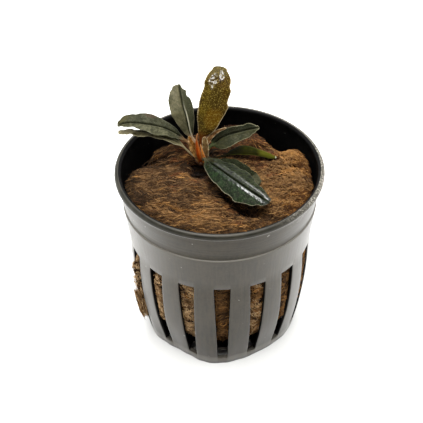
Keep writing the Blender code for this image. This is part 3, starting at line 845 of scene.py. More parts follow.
# Most strands that would bridge a cut or the planting hollow are left out, so both stay open and dark.
bridged = np.array([torn_relief(place[0], place[1]) for place in points[:, 2]]) < -OPEN_DEPTH
inside_pot &= ~(bridged & (np.random.default_rng(7).uniform(0.0, 1.0, len(tuft)) < OPEN_SHARE))
third = np.digitize(points[:, 2, 0], THIRDS)
for part, name in enumerate(("wool_fibres_left", "wool_fibres_middle", "wool_fibres_right")):
    chosen = inside_pot & (third == part)
    fibre_piece(name, points[chosen], radii[chosen], tints[chosen])

# Fibres in the slots: only where a slot leaves the plug open, and clear of the bars.
radial = np.hypot(plug_places[:, 0], plug_places[:, 1])
across_slot = slot_place(plug_places)[0]
side_band = (plug_places[:, 2] > 3.0) & (plug_places[:, 2] < 30.5) & (radial > 15.0)
in_slot = np.flatnonzero(side_band & (across_slot < 2.2) & (np.abs(plug_normals[:, 2]) < 0.75))
seeds = random.choice(in_slot, SIDE_TUFTS)
seed_places = plug_places[seeds]
tuft = np.repeat(np.arange(SIDE_TUFTS), TUFT_FIBRES)
found = on_plug(seed_places[tuft] + random.normal(0.0, 0.5, (len(tuft), 3)))
seed_turn = np.arctan2(seed_places[:, 1], seed_places[:, 0])
swirl = np.array([noise.noise(Vector((turn * 14.0, level / 4.5, 5.0)))
                  for turn, level in zip(seed_turn, seed_places[:, 2])])
tuft_angle = swirl * 2.4 + random.normal(0.0, 0.4, SIDE_TUFTS)
patch = np.array([noise.noise(Vector(place) / 2.0) for place in seed_places])
family = random.choice([1, 2, 2, 2, 4], SIDE_TUFTS)
clockwise = clockwise_of(seed_places)
# Pale fibres in the slots; their larger share on the left side is painted light.
bleached_and_lit_share = np.where(clockwise < 0.0, 0.7, 0.4)
bleached_and_lit = (clockwise > -120) & (clockwise < 34) & (np.abs(clockwise) > 11)
bleached_and_lit &= random.uniform(0.0, 1.0, SIDE_TUFTS) < bleached_and_lit_share
family[bleached_and_lit] = 5
# Painted light and shade, slot by slot.
lightness = np.array([curve_at(SLOT_LIGHTNESS, degrees) for degrees in clockwise])
lightness += 0.40 * patch + random.normal(0.0, 0.22, SIDE_TUFTS)
angle = tuft_angle[tuft] + random.normal(0.0, 0.3, len(tuft))
outward = unit(plug_places[found] * np.array([[1.0, 1.0, 0.0]]))
ups = unit(outward + 0.5 * plug_normals[found])
level_way = np.cross(UP, outward)
slanted = level_way * np.cos(angle)[:, None] + UP * np.sin(angle)[:, None]
ways = unit(slanted - ups * (slanted * ups).sum(axis=1, keepdims=True))
lengths = random.uniform(1.0, 3.2, len(tuft))
lift = random.uniform(-0.1, 0.25, len(tuft)) + 0.15 * patch[tuft]
points = fibre_points(plug_places[found], ways, ups, lengths, lift)
radii = random.uniform(0.045, 0.11, len(tuft))
tints = tint_at(family[tuft], lightness[tuft] + random.normal(0.0, 0.20, len(tuft)))
reach = np.hypot(points[..., 0], points[..., 1])
wall_at = np.vectorize(inner_radius)(points[..., 2])
point_across, slot_half = slot_place(points)
open_here = (point_across < slot_half - 0.1) & (points[..., 2] < SLOT_TOP[1] - 0.1)
clear = ((reach < wall_at - 0.05) | open_here).all(axis=1)
quarter = np.digitize(np.degrees(np.arctan2(points[:, 2, 1], points[:, 2, 0])), [-90.0, 0.0, 90.0])
for part, name in enumerate(("front_left", "front_right", "back_right", "back_left")):
    chosen = clear & (quarter == part)
    fibre_piece("wool_fibres_" + name, points[chosen], radii[chosen], tints[chosen])

# The torn flap: wool that was pulled out of one slot on the left and hangs down outside the wall.
turns = np.radians(FLAP_TURN + random.normal(0.0, 2.4, FLAP_FIBRES))
heights = random.uniform(*FLAP_SPAN, FLAP_FIBRES)
outward = np.stack([np.sin(turns), -np.cos(turns), np.zeros(FLAP_FIBRES)], axis=1)
wall_at = np.vectorize(wall_radius)(heights)
roots = outward * (wall_at + random.uniform(-0.9, 1.5, FLAP_FIBRES))[:, None]
roots[:, 2] = heights
level_way = np.cross(UP, outward)
ways = level_way * random.normal(0.0, 0.55, (FLAP_FIBRES, 1)) - UP - 0.12 * outward
lengths = random.uniform(1.6, 3.6, FLAP_FIBRES)
points = fibre_points(roots, unit(ways), outward, lengths, np.zeros(FLAP_FIBRES))
radii = random.uniform(0.05, 0.12, FLAP_FIBRES)
tints = tint_at(random.choice([2, 5, 5], FLAP_FIBRES), random.normal(0.8, 0.3, FLAP_FIBRES))
reach = np.hypot(points[..., 0], points[..., 1])
point_across, slot_half = slot_place(points)
outside_wall = reach > np.vectorize(wall_radius)(points[..., 2]) + 0.2
chosen = ((outside_wall | (point_across < slot_half - 0.15)) & (points[..., 2] > 4.5)).all(axis=1)
fibre_piece("wool_fibres_torn", points[chosen], radii[chosen], tints[chosen])


# The leaves: eight thick, waxy blades on short stalks, each in its own green, from the old mustard
# one that stands up to the fresh dark one in front. Their midribs lie in grooves between two
# ridges, their edges are thin and wavy, and damp skin gives them a hard shine.
BLADE_THICK = 0.4
EDGE_THICK = 0.13
LEAF_MERGE = 0.0005
LEAF_SMOOTH_ANGLE = math.radians(60)
EDGE_WAVES = 26.0
VEIN_SLANT = 1.1
# Painted shade: the near-black colour painted into the midrib groove.
GROOVE_SHADE = (0.004, 0.005, 0.002)


class Leaf:
    """One leaf: the line of its midrib and its half-widths in mm, its form and its colours."""

    def __init__(self, name, line, blade, left, right, face, **form):
        self.name = name
        self.line = [Vector(point) for point in line]
        self.blade = blade
        self.left = left
        self.right = right
        self.face = [Vector(way).normalized() for way in face]
        self.fold = form.pop("fold")
        self.droop = form.pop("droop", 0.0)
        self.ripple = form.pop("ripple", 0.1)
        self.groove = form.pop("groove", (0.16, 0.22))
        self.ridge = form.pop("ridge", (0.12, 0.5, 0.3))
        self.veins = form.pop("veins", (0.04, 1.3))
        self.blisters = form.pop("blisters", ())
        self.spread = form.pop("spread", (0.0, 0.12))
        self.stalk = form.pop("stalk", (0.48, 0.8))
        self.steps = form.pop("steps", (46, 150))
        self.gloss = form.pop("gloss", (0.25, 0.2, 0.4))
        self.colours = form


LEAVES = (
    Leaf("leaf_upright",
         line=((-4.3, 6.6, 46.6), (-4.5, 7.3, 49.2), (-4.2, 8.0, 51.8), (-2.7, 8.6, 54.8),
               (-1.3, 10.6, 59.2), (-0.2, 13.2, 63.3), (0.7, 17.0, 66.2)), blade=0.2,
         left=(0.4, 0.9, 1.6, 2.2, 2.6, 2.9, 3.1, 3.2, 3.3, 3.4, 3.45, 3.4, 3.3, 3.1, 3.0, 3.2, 3.0, 2.8,
               2.4, 1.8, 0.0),
         right=(0.3, 0.9, 1.6, 2.0, 2.3, 2.6, 2.8, 3.1, 3.4, 3.6, 3.8, 3.4, 3.45, 3.6, 3.65, 3.2, 3.25,
                3.1, 2.6, 1.9, 0.0), face=((0.0, -0.85, 0.5), (0.0, -0.6, 0.8)), fold=0.05, droop=0.1,
         ripple=0.16, groove=(0.0, 0.3), ridge=(0.0, 0.5, 0.3), veins=(0.0, 1.1), spread=(-0.2, 0.0),
         gloss=(0.05, 0.0, 0.4), groove_dark=0.0, stalk=(0.35, 0.6),
         wet=((-0.36, 0.78, 0.34, 0.11), (0.26, 0.86, 0.22, 0.09)),
         blisters=((-0.35, 0.79, 0.42, 0.15, 0.34, 1.1), (0.28, 0.84, 0.3, 0.16, 0.3, 1.2),
                   (0.0, 0.55, 0.8, 0.35, 0.05, 0.5)), left_colour=(0.058, 0.038, 0.003),
         right_colour=(0.044, 0.024, 0.002), dark=(0.016, 0.008, 0.001), speckle=(0.23, 0.165, 0.036),
         speckling=0.68, rim=(0.34, 0.27, 0.15), foot=(0.085, 0.020, 0.003), rim_width=0.28,
         blotches=0.35, back=(0.06, 0.04, 0.01),
         spots=((0.0, 0.97, 1.2, 0.14, (0.050, 0.038, 0.012)),
                (0.1, 0.58, 0.5, 0.15, (0.028, 0.017, 0.002)),
                (0.3, 0.3, 0.8, 0.16, (0.070, 0.036, 0.002)))),
    Leaf("leaf_back",
         line=((-4.5, 8.0, 46.45), (-5.4, 8.6, 48.8), (-6.9, 9.6, 51.0), (-7.5, 10.6, 53.6),
               (-8.0, 11.6, 55.8), (-8.7, 13.1, 57.6), (-9.6, 17.2, 61.0)), blade=0.24,
         left=(0.4, 0.8, 1.1, 1.5, 1.9, 2.1, 2.4, 2.7, 2.9, 3.1, 3.2, 3.2, 3.2, 3.2, 3.2, 3.1, 2.8, 2.6,
               2.3, 1.7, 0.0),
         right=(0.4, 0.8, 1.0, 1.2, 1.4, 1.6, 1.8, 2.0, 2.2, 2.3, 2.5, 2.6, 2.6, 2.5, 2.3, 1.7, 1.6, 1.65,
                0.9, 0.6, 0.0), face=((-0.25, -0.7, 0.65), (-0.25, -0.6, 0.75)), fold=0.3, droop=0.05,
         ripple=0.1, groove=(0.22, 0.18), ridge=(0.14, 0.42, 0.2), veins=(0.008, 1.2),
         # The pale left half is painted sheen, lighter than the right half for the light it catches.
         gloss=(0.22, 0.0, 0.5), stalk=(0.36, 0.6), left_colour=(0.078, 0.070, 0.036),
         right_colour=(0.015, 0.017, 0.006), dark=(0.022, 0.023, 0.008), blotches=0.45,
         speckle=(0.12, 0.11, 0.07), speckling=0.25, rim=(0.12, 0.11, 0.07), foot=(0.26, 0.17, 0.10),
         back=(0.06, 0.06, 0.03), rib=(0.38, 0.36, 0.26)),
    Leaf("leaf_left_upper",
         line=((-5.2, 7.0, 46.4), (-6.5, 8.2, 48.0), (-8.3, 9.5, 49.5), (-12.6, 10.7, 52.0),
               (-17.6, 10.9, 53.5), (-22.3, 11.8, 53.3), (-25.0, 11.9, 52.3)), blade=0.2,
         left=(0.5, 0.8, 1.0, 1.2, 1.7, 1.9, 2.2, 2.5, 2.8, 3.0, 3.0, 2.6, 2.0, 1.9, 1.7, 1.4, 1.5, 1.4,
               1.0, 0.4, 0.0),
         right=(0.4, 0.5, 0.7, 0.9, 1.2, 1.4, 1.7, 2.0, 2.3, 2.5, 2.7, 3.0, 3.0, 2.9, 2.7, 2.4, 2.5, 2.4,
                2.1, 1.3, 0.0), face=((0.0, -0.3, 1.0), (-0.2, -0.3, 1.0)), fold=0.25, droop=0.05,
         ripple=0.14, groove=(0.22, 0.17), ridge=(0.1, 0.45, 0.25), veins=(0.012, 1.2),
         # The lower, front half is painted lighter and greyer: painted sheen.
         gloss=(0.10, 0.0, 0.6), stalk=(0.3, 0.5), left_colour=(0.062, 0.060, 0.032),
         right_colour=(0.030, 0.031, 0.016), dark=(0.008, 0.010, 0.004), blotches=0.5,
         speckle=(0.10, 0.10, 0.07), speckling=0.3, rim=(0.13, 0.13, 0.09), foot=(0.16, 0.085, 0.035),
         back=(0.05, 0.05, 0.02),
         spots=((0.9, 0.55, 0.3, 0.09, (0.030, 0.020, 0.010)),
                (0.8, 0.92, 0.7, 0.1, (0.035, 0.032, 0.012)))),
    Leaf("leaf_left_lower",
         line=((-4.8, 5.75, 46.35), (-6.6, 6.7, 47.0), (-9.6, 8.6, 49.0), (-13.5, 9.4, 50.5),
               (-17.7, 10.5, 51.3), (-21.7, 11.6, 51.0), (-25.0, 12.5, 50.0)), blade=0.2,
         left=(0.5, 0.6, 0.7, 0.8, 0.8, 0.8, 0.8, 0.8, 0.9, 0.9, 1.0, 1.2, 1.4, 1.4, 1.4, 1.2, 0.9, 1.0,
               0.8, 0.7, 0.0),
         right=(0.4, 0.6, 0.8, 1.0, 1.2, 1.3, 1.4, 1.4, 1.4, 1.2, 1.0, 0.8, 0.6, 0.5, 0.4, 0.4, 0.7, 0.7,
                0.5, 0.5, 0.0), face=((0.0, -0.3, 1.0), (0.0, -0.6, 0.9)), fold=0.18, ripple=0.2,
         groove=(0.05, 0.2), ridge=(0.0, 0.4, 0.2), veins=(0.03, 1.0), gloss=(0.12, 0.0, 0.5),
         stalk=(0.24, 0.4), left_colour=(0.090, 0.080, 0.040), right_colour=(0.045, 0.042, 0.016),
         dark=(0.022, 0.018, 0.004), speckle=(0.12, 0.11, 0.06), speckling=0.3, rim=(0.30, 0.27, 0.17),
         rim_width=0.24, spots=((0.0, 1.0, 1.8, 0.3, (0.20, 0.175, 0.10)),), foot=(0.15, 0.12, 0.065),
         back=(0.05, 0.045, 0.015)),
    Leaf("leaf_right",
         line=((-2.8, 7.5, 46.4), (-2.7, 7.1, 48.5), (-0.7, 7.8, 50.0), (1.6, 8.2, 51.5),
               (4.8, 8.4, 52.5), (6.7, 8.4, 53.0), (10.0, 8.1, 54.0)), blade=0.2,
         left=(0.9, 1.3, 1.5, 1.4, 1.4, 1.5, 1.5, 1.6, 1.7, 1.7, 1.7, 1.6, 1.5, 1.5, 1.4, 1.5, 1.6, 1.4,
               1.1, 0.6, 0.0),
         right=(1.0, 1.5, 2.0, 2.4, 2.7, 2.9, 2.9, 3.0, 2.9, 2.8, 2.6, 2.4, 2.3, 2.2, 2.1, 2.0, 1.8, 1.3,
                1.1, 0.6, 0.0), face=((0.0, -0.7, 0.7), (0.0, -0.7, 0.7)), fold=0.27, droop=0.0,
         ripple=0.08, groove=(0.12, 0.16), ridge=(0.08, 0.4, 0.2), veins=(0.012, 1.2),
         # The far half is painted near black: painted shade, where it stands up out of the light.
         gloss=(0.12, 0.0, 0.5), stalk=(0.36, 0.6), left_colour=(0.007, 0.007, 0.002),
         right_colour=(0.026, 0.026, 0.010), dark=(0.007, 0.010, 0.004), blotches=0.5,
         speckle=(0.08, 0.08, 0.05), speckling=0.25, rim=(0.18, 0.17, 0.10), foot=(0.055, 0.07, 0.025),
         back=(0.05, 0.05, 0.02), rim_width=0.22),
    Leaf("leaf_right_small",
         line=((-1.5, 6.5, 45.95), (1.3, 6.3, 46.8), (4.0, 6.5, 48.0), (6.4, 6.3, 48.6), (9.4, 5.7, 48.3),
               (11.6, 5.7, 47.4), (14.2, 5.5, 46.6)), blade=0.2,
         left=(0.7, 1.0, 1.3, 1.4, 1.7, 2.0, 2.0, 2.0, 2.0, 1.9, 1.8, 1.6, 1.5, 1.5, 1.5, 1.5, 1.3, 1.1,
               0.9, 0.5, 0.0),
         right=(0.3, 0.4, 0.5, 0.7, 0.8, 1.0, 1.1, 1.2, 1.2, 1.2, 1.1, 1.0, 0.9, 0.9, 0.8, 0.7, 0.7, 0.7,
                0.6, 0.5, 0.0), face=((0.0, -0.25, 1.0), (0.0, -0.25, 1.0)), fold=0.1, droop=0.5,
         ripple=0.04, groove=(0.0, 0.2), ridge=(0.0, 0.4, 0.2), veins=(0.0, 1.2), gloss=(0.02, 0.0, 0.6),
         groove_dark=0.0, stalk=(0.36, 0.6), left_colour=(0.018, 0.020, 0.001),
         right_colour=(0.010, 0.010, 0.001), dark=(0.006, 0.007, 0.001), speckle=(0.04, 0.04, 0.008),
         speckling=0.2, rim=(0.05, 0.05, 0.01), foot=(0.008, 0.006, 0.002), back=(0.02, 0.018, 0.003),
         # The first spot darkens the base: painted shadow of the leaf above it.
         spots=((0.0, 0.05, 1.5, 0.35, (0.006, 0.006, 0.002)),
                (0.0, 0.92, 1.5, 0.34, (0.044, 0.044, 0.004)),
                (0.0, 1.0, 1.5, 0.035, (0.42, 0.40, 0.28)))),
    Leaf("leaf_front",
         line=((-3.75, 5.5, 46.4), (-3.4, 4.4, 47.3), (0.1, -1.6, 48.8), (3.8, -6.8, 49.5),
               (7.4, -10.6, 49.2), (11.3, -13.9, 48.5)), blade=0.05,
         left=(1.2, 2.2, 2.8, 3.1, 3.4, 3.6, 3.9, 4.1, 4.3, 4.4, 4.5, 4.3, 4.2, 4.1, 3.5, 3.0, 2.9, 2.8,
               2.4, 1.7, 0.0),
         right=(0.5, 1.2, 1.7, 2.1, 2.6, 3.0, 3.3, 3.6, 3.9, 4.2, 4.3, 4.4, 4.6, 4.6, 4.8, 5.3, 4.3, 3.7,
                3.3, 2.3, 0.0), face=((0.0, 0.0, 1.0), (0.0, 0.0, 1.0)), fold=0.35, droop=0.4,
         ripple=0.22, groove=(0.50, 0.18), ridge=(0.28, 0.88, 0.42), veins=(0.03, 1.5),
         gloss=(0.05, 0.0, 0.5), shine=(0.26, 1.3, 0.62, 0.05), groove_line=0.3, rim_width=0.13,
         blisters=((-0.5, 0.5, 0.45, 0.36, 0.12, 1.6), (0.55, 0.45, 0.45, 0.4, 0.03, 1.6)),
         left_colour=(0.014, 0.018, 0.006), right_colour=(0.007, 0.016, 0.005),
         dark=(0.001, 0.002, 0.001), blotches=0.8, speckle=(0.05, 0.062, 0.034), speckling=0.45,
         rim=(0.20, 0.18, 0.12), foot=(0.05, 0.045, 0.025), back=(0.03, 0.035, 0.015), groove_dark=1.0),
    Leaf("leaf_front_under",
         line=((-2.65, 6.25, 46.2), (0.7, 3.1, 46.9), (4.0, -0.2, 47.2), (6.8, -2.9, 47.0),
               (9.5, -4.9, 46.7)), blade=0.12,
         left=(0.6, 1.4, 2.1, 2.7, 3.1, 3.3, 3.4, 3.5, 3.5, 3.4, 3.4, 3.3, 3.3, 3.2, 3.2, 3.0, 2.9, 2.7,
               2.4, 1.7, 0.0),
         right=(0.4, 0.8, 1.2, 1.6, 2.0, 2.3, 2.5, 2.7, 2.8, 2.9, 2.9, 3.0, 3.0, 2.9, 2.8, 2.6, 2.4, 2.1,
                1.7, 1.2, 0.0), face=((0.0, 0.0, 1.0), (0.0, 0.0, 1.0)), fold=0.1, droop=0.1, ripple=0.15,
         groove=(0.1, 0.2), ridge=(0.05, 0.5, 0.25), veins=(0.16, 0.9), gloss=(0.02, 0.0, 0.5),
         left_colour=(0.007, 0.009, 0.003), right_colour=(0.006, 0.008, 0.003),
         dark=(0.002, 0.003, 0.001), speckle=(0.06, 0.07, 0.04), speckling=0.3, rim=(0.10, 0.09, 0.05),
         foot=(0.02, 0.02, 0.01), back=(0.03, 0.03, 0.015),
         spots=((-0.4, 0.9, 0.9, 0.12, (0.036, 0.036, 0.020)),)),
)


def smooth_line(points, count):
    """Evenly spaced places and directions on a smooth curve through the points."""
    ends = [points[0] * 2 - points[1], *points, points[-1] * 2 - points[-2]]
    fine = []
    for a, b, c, d in zip(ends, ends[1:], ends[2:], ends[3:]):
        for step in range(24):
            t = step / 24
            fine.append(0.5 * (2 * b + (c - a) * t + (2 * a - 5 * b + 4 * c - d) * t ** 2
                               + (3 * b - a - 3 * c + d) * t ** 3))
    fine.append(points[-1])
    lengths = [0.0]
    for start, end in zip(fine[:-1], fine[1:]):
        lengths.append(lengths[-1] + (end - start).length)
    places = []
    i = 0
    for step in range(count):
        target = lengths[-1] * step / (count - 1)
        while i < len(fine) - 2 and lengths[i + 1] < target:
            i += 1
        t = (target - lengths[i]) / (lengths[i + 1] - lengths[i])
        places.append((fine[i].lerp(fine[i + 1], t), (fine[i + 1] - fine[i]).normalized()))
    return places, lengths[-1]


def width_at(widths, share):
    """Half-width in mm at a share of the blade's length. The last gap closes in a round tip."""
    place = min(max(share, 0.0), 1.0) * (len(widths) - 1)
    i = min(int(place), len(widths) - 2)
    t = place - i
    if i == len(widths) - 2:
        return widths[i] * math.sqrt(max(1.0 - t * t, 0.0))
    before = widths[max(i - 1, 0)]
    after = widths[i + 2] if i + 2 < len(widths) - 1 else widths[i + 1]
    a, b = widths[i], widths[i + 1]
    return 0.5 * (2 * a + (b - before) * t + (2 * before - 5 * a + 4 * b - after) * t * t
                  + (3 * a - before - 3 * b + after) * t ** 3)


def leaf_relief(leaf, u, half, share, length, place):
    """Height in mm of the skin over the flat leaf: the fold, waves, groove, ridges and veins."""
    across = abs(u) * half
    wave = leaf.ripple * u * u * math.sin(EDGE_WAVES * share + (1.7 if u > 0 else 0.0))
    side = 3.0 if u > 0 else 9.0
    wave += leaf.ripple * 0.9 * abs(u) ** 3 * noise.noise(Vector((share * length / 1.1, side, 1.0)))
    rise = half * (leaf.fold * abs(u) - leaf.droop * u * u) + wave
    depth, width = leaf.groove
    fade = smooth_step(0.02, 0.15, share) * (1.0 - smooth_step(0.9, 1.0, share))
    rise -= depth * math.exp(-(across / width) ** 2) * fade
    height, place_at, spread = leaf.ridge
    rise += height * math.exp(-((across - place_at) / spread) ** 2) * fade
    height, spacing = leaf.veins
    turns = 2 * math.pi * (share * length - across * VEIN_SLANT) / spacing
    vein = math.sin(turns + 2.0 * noise.noise(place / 2.0))
    window = smooth_step(0.15, 0.4, abs(u)) * (1.0 - smooth_step(0.75, 0.95, abs(u)))
    rise += height * vein * window
    for middle_u, middle_share, reach_u, reach_share, height, size in leaf.blisters:
        reach = math.hypot((u - middle_u) / reach_u, (share - middle_share) / reach_share)
        if reach < 1.0:
            bubble = noise.noise(place / size) + 0.5 * noise.noise(place / size * 2.1 + Vector((4, 1, 8)))
            rise += height * bubble * (1.0 - smooth_step(0.5, 1.0, reach))
    return rise, vein * window


def leaf_mesh(leaf):
    """Shapes a flat grid into the leaf: rows along the midrib, columns round the section."""
    round_steps, rows = leaf.steps
    stalk_half, stalk_thick = leaf.stalk
    columns = 2 * round_steps + 1
    bpy.ops.object.select_all(action="DESELECT")
    bpy.ops.mesh.primitive_grid_add(x_subdivisions=2 * round_steps, y_subdivisions=rows - 1, size=1.0)
    blade = bpy.context.object
    blade.name = leaf.name + "_blade"
    stations, length = smooth_line(leaf.line, rows)
    marks = {"across": [], "rib": [], "edge": [], "along": [], "under": [], "vein": []}
    places = []
    for row, (place, along) in enumerate(stations):
        station = row / (rows - 1)
        along_blade = (station - leaf.blade) / (1.0 - leaf.blade)
        share = max(0.0, along_blade)
        face = leaf.face[0].lerp(leaf.face[1], share)
        up = (face - along * face.dot(along)).normalized()
        side = along.cross(up)
        full = smooth_step(*leaf.spread, along_blade)
        tip = math.sqrt(max(0.0, 1.0 - smooth_step(0.97, 1.0, station)))
        for column in range(columns):
            under = column > round_steps
            step = column if not under else 2 * round_steps - column
            s = 2.0 * step / round_steps - 1.0
            u = s * (0.6 + 0.4 * s * s)
            half = stalk_half + (width_at(leaf.right if u > 0 else leaf.left, share) - stalk_half) * full
            flat = place + side * (half * u)
            rise, vein = leaf_relief(leaf, u, half, share, length * (1.0 - leaf.blade), flat)
            blade_thick = EDGE_THICK + (BLADE_THICK - EDGE_THICK) * (1 - u * u)
            thick = (full * blade_thick + (1 - full) * stalk_thick * math.sqrt(max(1 - u * u, 0.0))) * tip
            if abs(s) > 0.999:
                thick = 0.0
            if row == rows - 1:
                places.extend(place * MM)
            else:
                places.extend((flat + up * (rise * full + (-0.5 if under else 0.5) * thick)) * MM)
            marks["across"].append(u)
            marks["rib"].append(u * half)
            marks["edge"].append((1.0 - abs(u)) * half)
            marks["along"].append(along_blade)
            marks["under"].append(1.0 if under else 0.0)
            marks["vein"].append(vein)
    blade.data.vertices.foreach_set("co", places)
    for name, values in marks.items():
        blade.data.attributes.new(name, "FLOAT", "POINT").data.foreach_set("value", values)
    bpy.ops.object.mode_set(mode="EDIT")
    bpy.ops.mesh.select_all(action="SELECT")
    bpy.ops.mesh.remove_doubles(threshold=LEAF_MERGE * MM)
    start = stations[0][0]
    select_rims(lambda point: (point - start).length < 2.0)
    bpy.ops.mesh.edge_face_add()
    bpy.ops.mesh.select_all(action="SELECT")
    bpy.ops.mesh.normals_make_consistent(inside=False)
    bpy.ops.object.mode_set(mode="OBJECT")
    bpy.ops.object.shade_smooth_by_angle(angle=LEAF_SMOOTH_ANGLE)
    return blade


def leaf_paint(leaf):
    """Skin of one leaf: two halves, on some a painted lit half and a painted shaded half, mottling, side
    veins, midrib with its groove painted dark as shade, pale rim, stalk and spots.
    """
    tints = leaf.colours
    specular, coat, roughness = leaf.gloss
    skin = Paint(leaf.name + "_skin", Specular_IOR_Level=specular, Coat_Weight=coat, Coat_Roughness=0.14,
                 Coat_IOR=1.65, Specular_Tint=(1.0, 0.92, 0.78, 1.0))
    across, rib, edge, along, under, vein = [
        skin.node("ShaderNodeAttribute", {"attribute_name": name}, output=2)
        for name in ("across", "rib", "edge", "along", "under", "vein")]
    place = skin.place()
    cells = skin.noise(place, 3600.0, 2.0, 0.6)
    patches = skin.noise(place, 600.0, 3.0, 0.6)
    # On some leaves the two halves' tints are painted light and shade: a lit half and a shaded half.
    colour = skin.mix(skin.level(across, -0.08, 0.08), tints["left_colour"], tints["right_colour"])
    colour = skin.mix(skin.level(patches, 0.45, 0.68) * 0.75, colour, tints["dark"])
    if "blotches" in tints:
        bold = skin.noise(skin.stretched(place, (1.0, 1.0, 0.5)), 1000.0, 1.0, 0.5, 0.6)
        colour = skin.mix(skin.level(bold, 0.44, 0.58) * tints["blotches"], colour, tints["dark"])
    colour = skin.mix(skin.level(vein, 0.2, 0.9) * 0.35, colour, tints["dark"])
    if "streaks" in tints:
        lengthwise = skin.node("ShaderNodeCombineXYZ", {}, across * 5.0, along * 1.6, 0.0)
        strands = skin.noise(lengthwise, 1.0, 2.0, 0.6)
        colour = skin.mix(skin.level(strands, 0.42, 0.62) * tints["streaks"], colour, tints["dark"])
    from_rib = abs(rib)
    on_blade = skin.level(along, 0.0, 0.15)
    if "rib" in tints:
        beside = skin.level(rib, 0.1, 0.22) * skin.level(rib, 0.62, 0.42)
        colour = skin.mix(beside * skin.level(along, 0.72, 0.35), colour, tints["rib"])
    # Painted shade: the midrib groove is painted dark.
    line = skin.level(from_rib, tints.get("groove_line", 0.22), 0.08) * on_blade
    line = line * skin.level(along, 0.97, 0.9)
    colour = skin.mix(line * tints.get("groove_dark", 0.8), colour, GROOVE_SHADE)
    wobble = (patches - 0.5) * 0.9

    def in_oval(middle_u, middle_share, reach_u, reach_share, rim, core):
        """How far inside a ragged oval patch a place is: 0 outside its rim and 1 in its core."""
        sideways = (across - middle_u) / reach_u
        lengthways = (along - middle_share) / reach_share
        return skin.level(sideways * sideways + lengthways * lengthways + wobble, rim, core)

    for *oval, tint in tints.get("spots", ()):
        colour = skin.mix(in_oval(*oval, 1.1, 0.4), colour, tint)
    colour = skin.mix(skin.level(cells, 0.53, 0.68) * tints["speckling"], colour, tints["speckle"])
    colour = skin.mix(skin.level(cells, 0.46, 0.34) * tints["speckling"] * 0.7, colour, tints["dark"])
    rim = skin.level(edge, tints.get("rim_width", 0.16), 0.03) * on_blade
    colour = skin.mix(rim * 0.8, colour, tints["rim"])
    colour = skin.mix(skin.level(along, 0.14, -0.02), colour, tints["foot"])
    colour = skin.mix(skin.level(under, 0.4, 0.6), colour, tints["back"])
    skin.feed("Base Color", colour)
    wet = 0.0
    for oval in tints.get("wet", ()):
        wet = wet + in_oval(*oval, 1.2, 0.7)
    if "shine" in tints:
        near_rib, far_rib, crease, start = tints["shine"]
        threads = skin.node("ShaderNodeCombineXYZ", {}, rib * 1.4, along * 46.0, 0.0)
        fringe = skin.noise(threads, 1.0, 2.0, 0.6)
        ragged = from_rib + (fringe - 0.5) * 1.6
        band = skin.level(from_rib, near_rib, near_rib + 0.12) * skin.level(ragged, far_rib + 0.3, far_rib)
        band = band * (0.7 + skin.level(fringe, 0.6, 0.4) * 0.3)
        creased = skin.level(rib, crease - 0.16, crease - 0.06)
        creased = creased * skin.level(rib, crease + 0.16, crease + 0.06)
        wet = band * skin.level(along, start, start + 0.14) * (1.0 - creased * 0.8) * 0.68
    if isinstance(wet, Value):
        skin.feed("Coat Weight", wet)
    skin.feed("Roughness", roughness - 0.08 + skin.level(patches, 0.3, 0.75) * 0.16)
    skin.feed("Normal", skin.bump(cells + patches * 0.6, 0.05 * MM, 0.7))
    return skin.material


for leaf in LEAVES:
    blade = leaf_mesh(leaf)
    blade.data.materials.append(leaf_paint(leaf))
    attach(blade, "root")
    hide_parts(leaf.name)


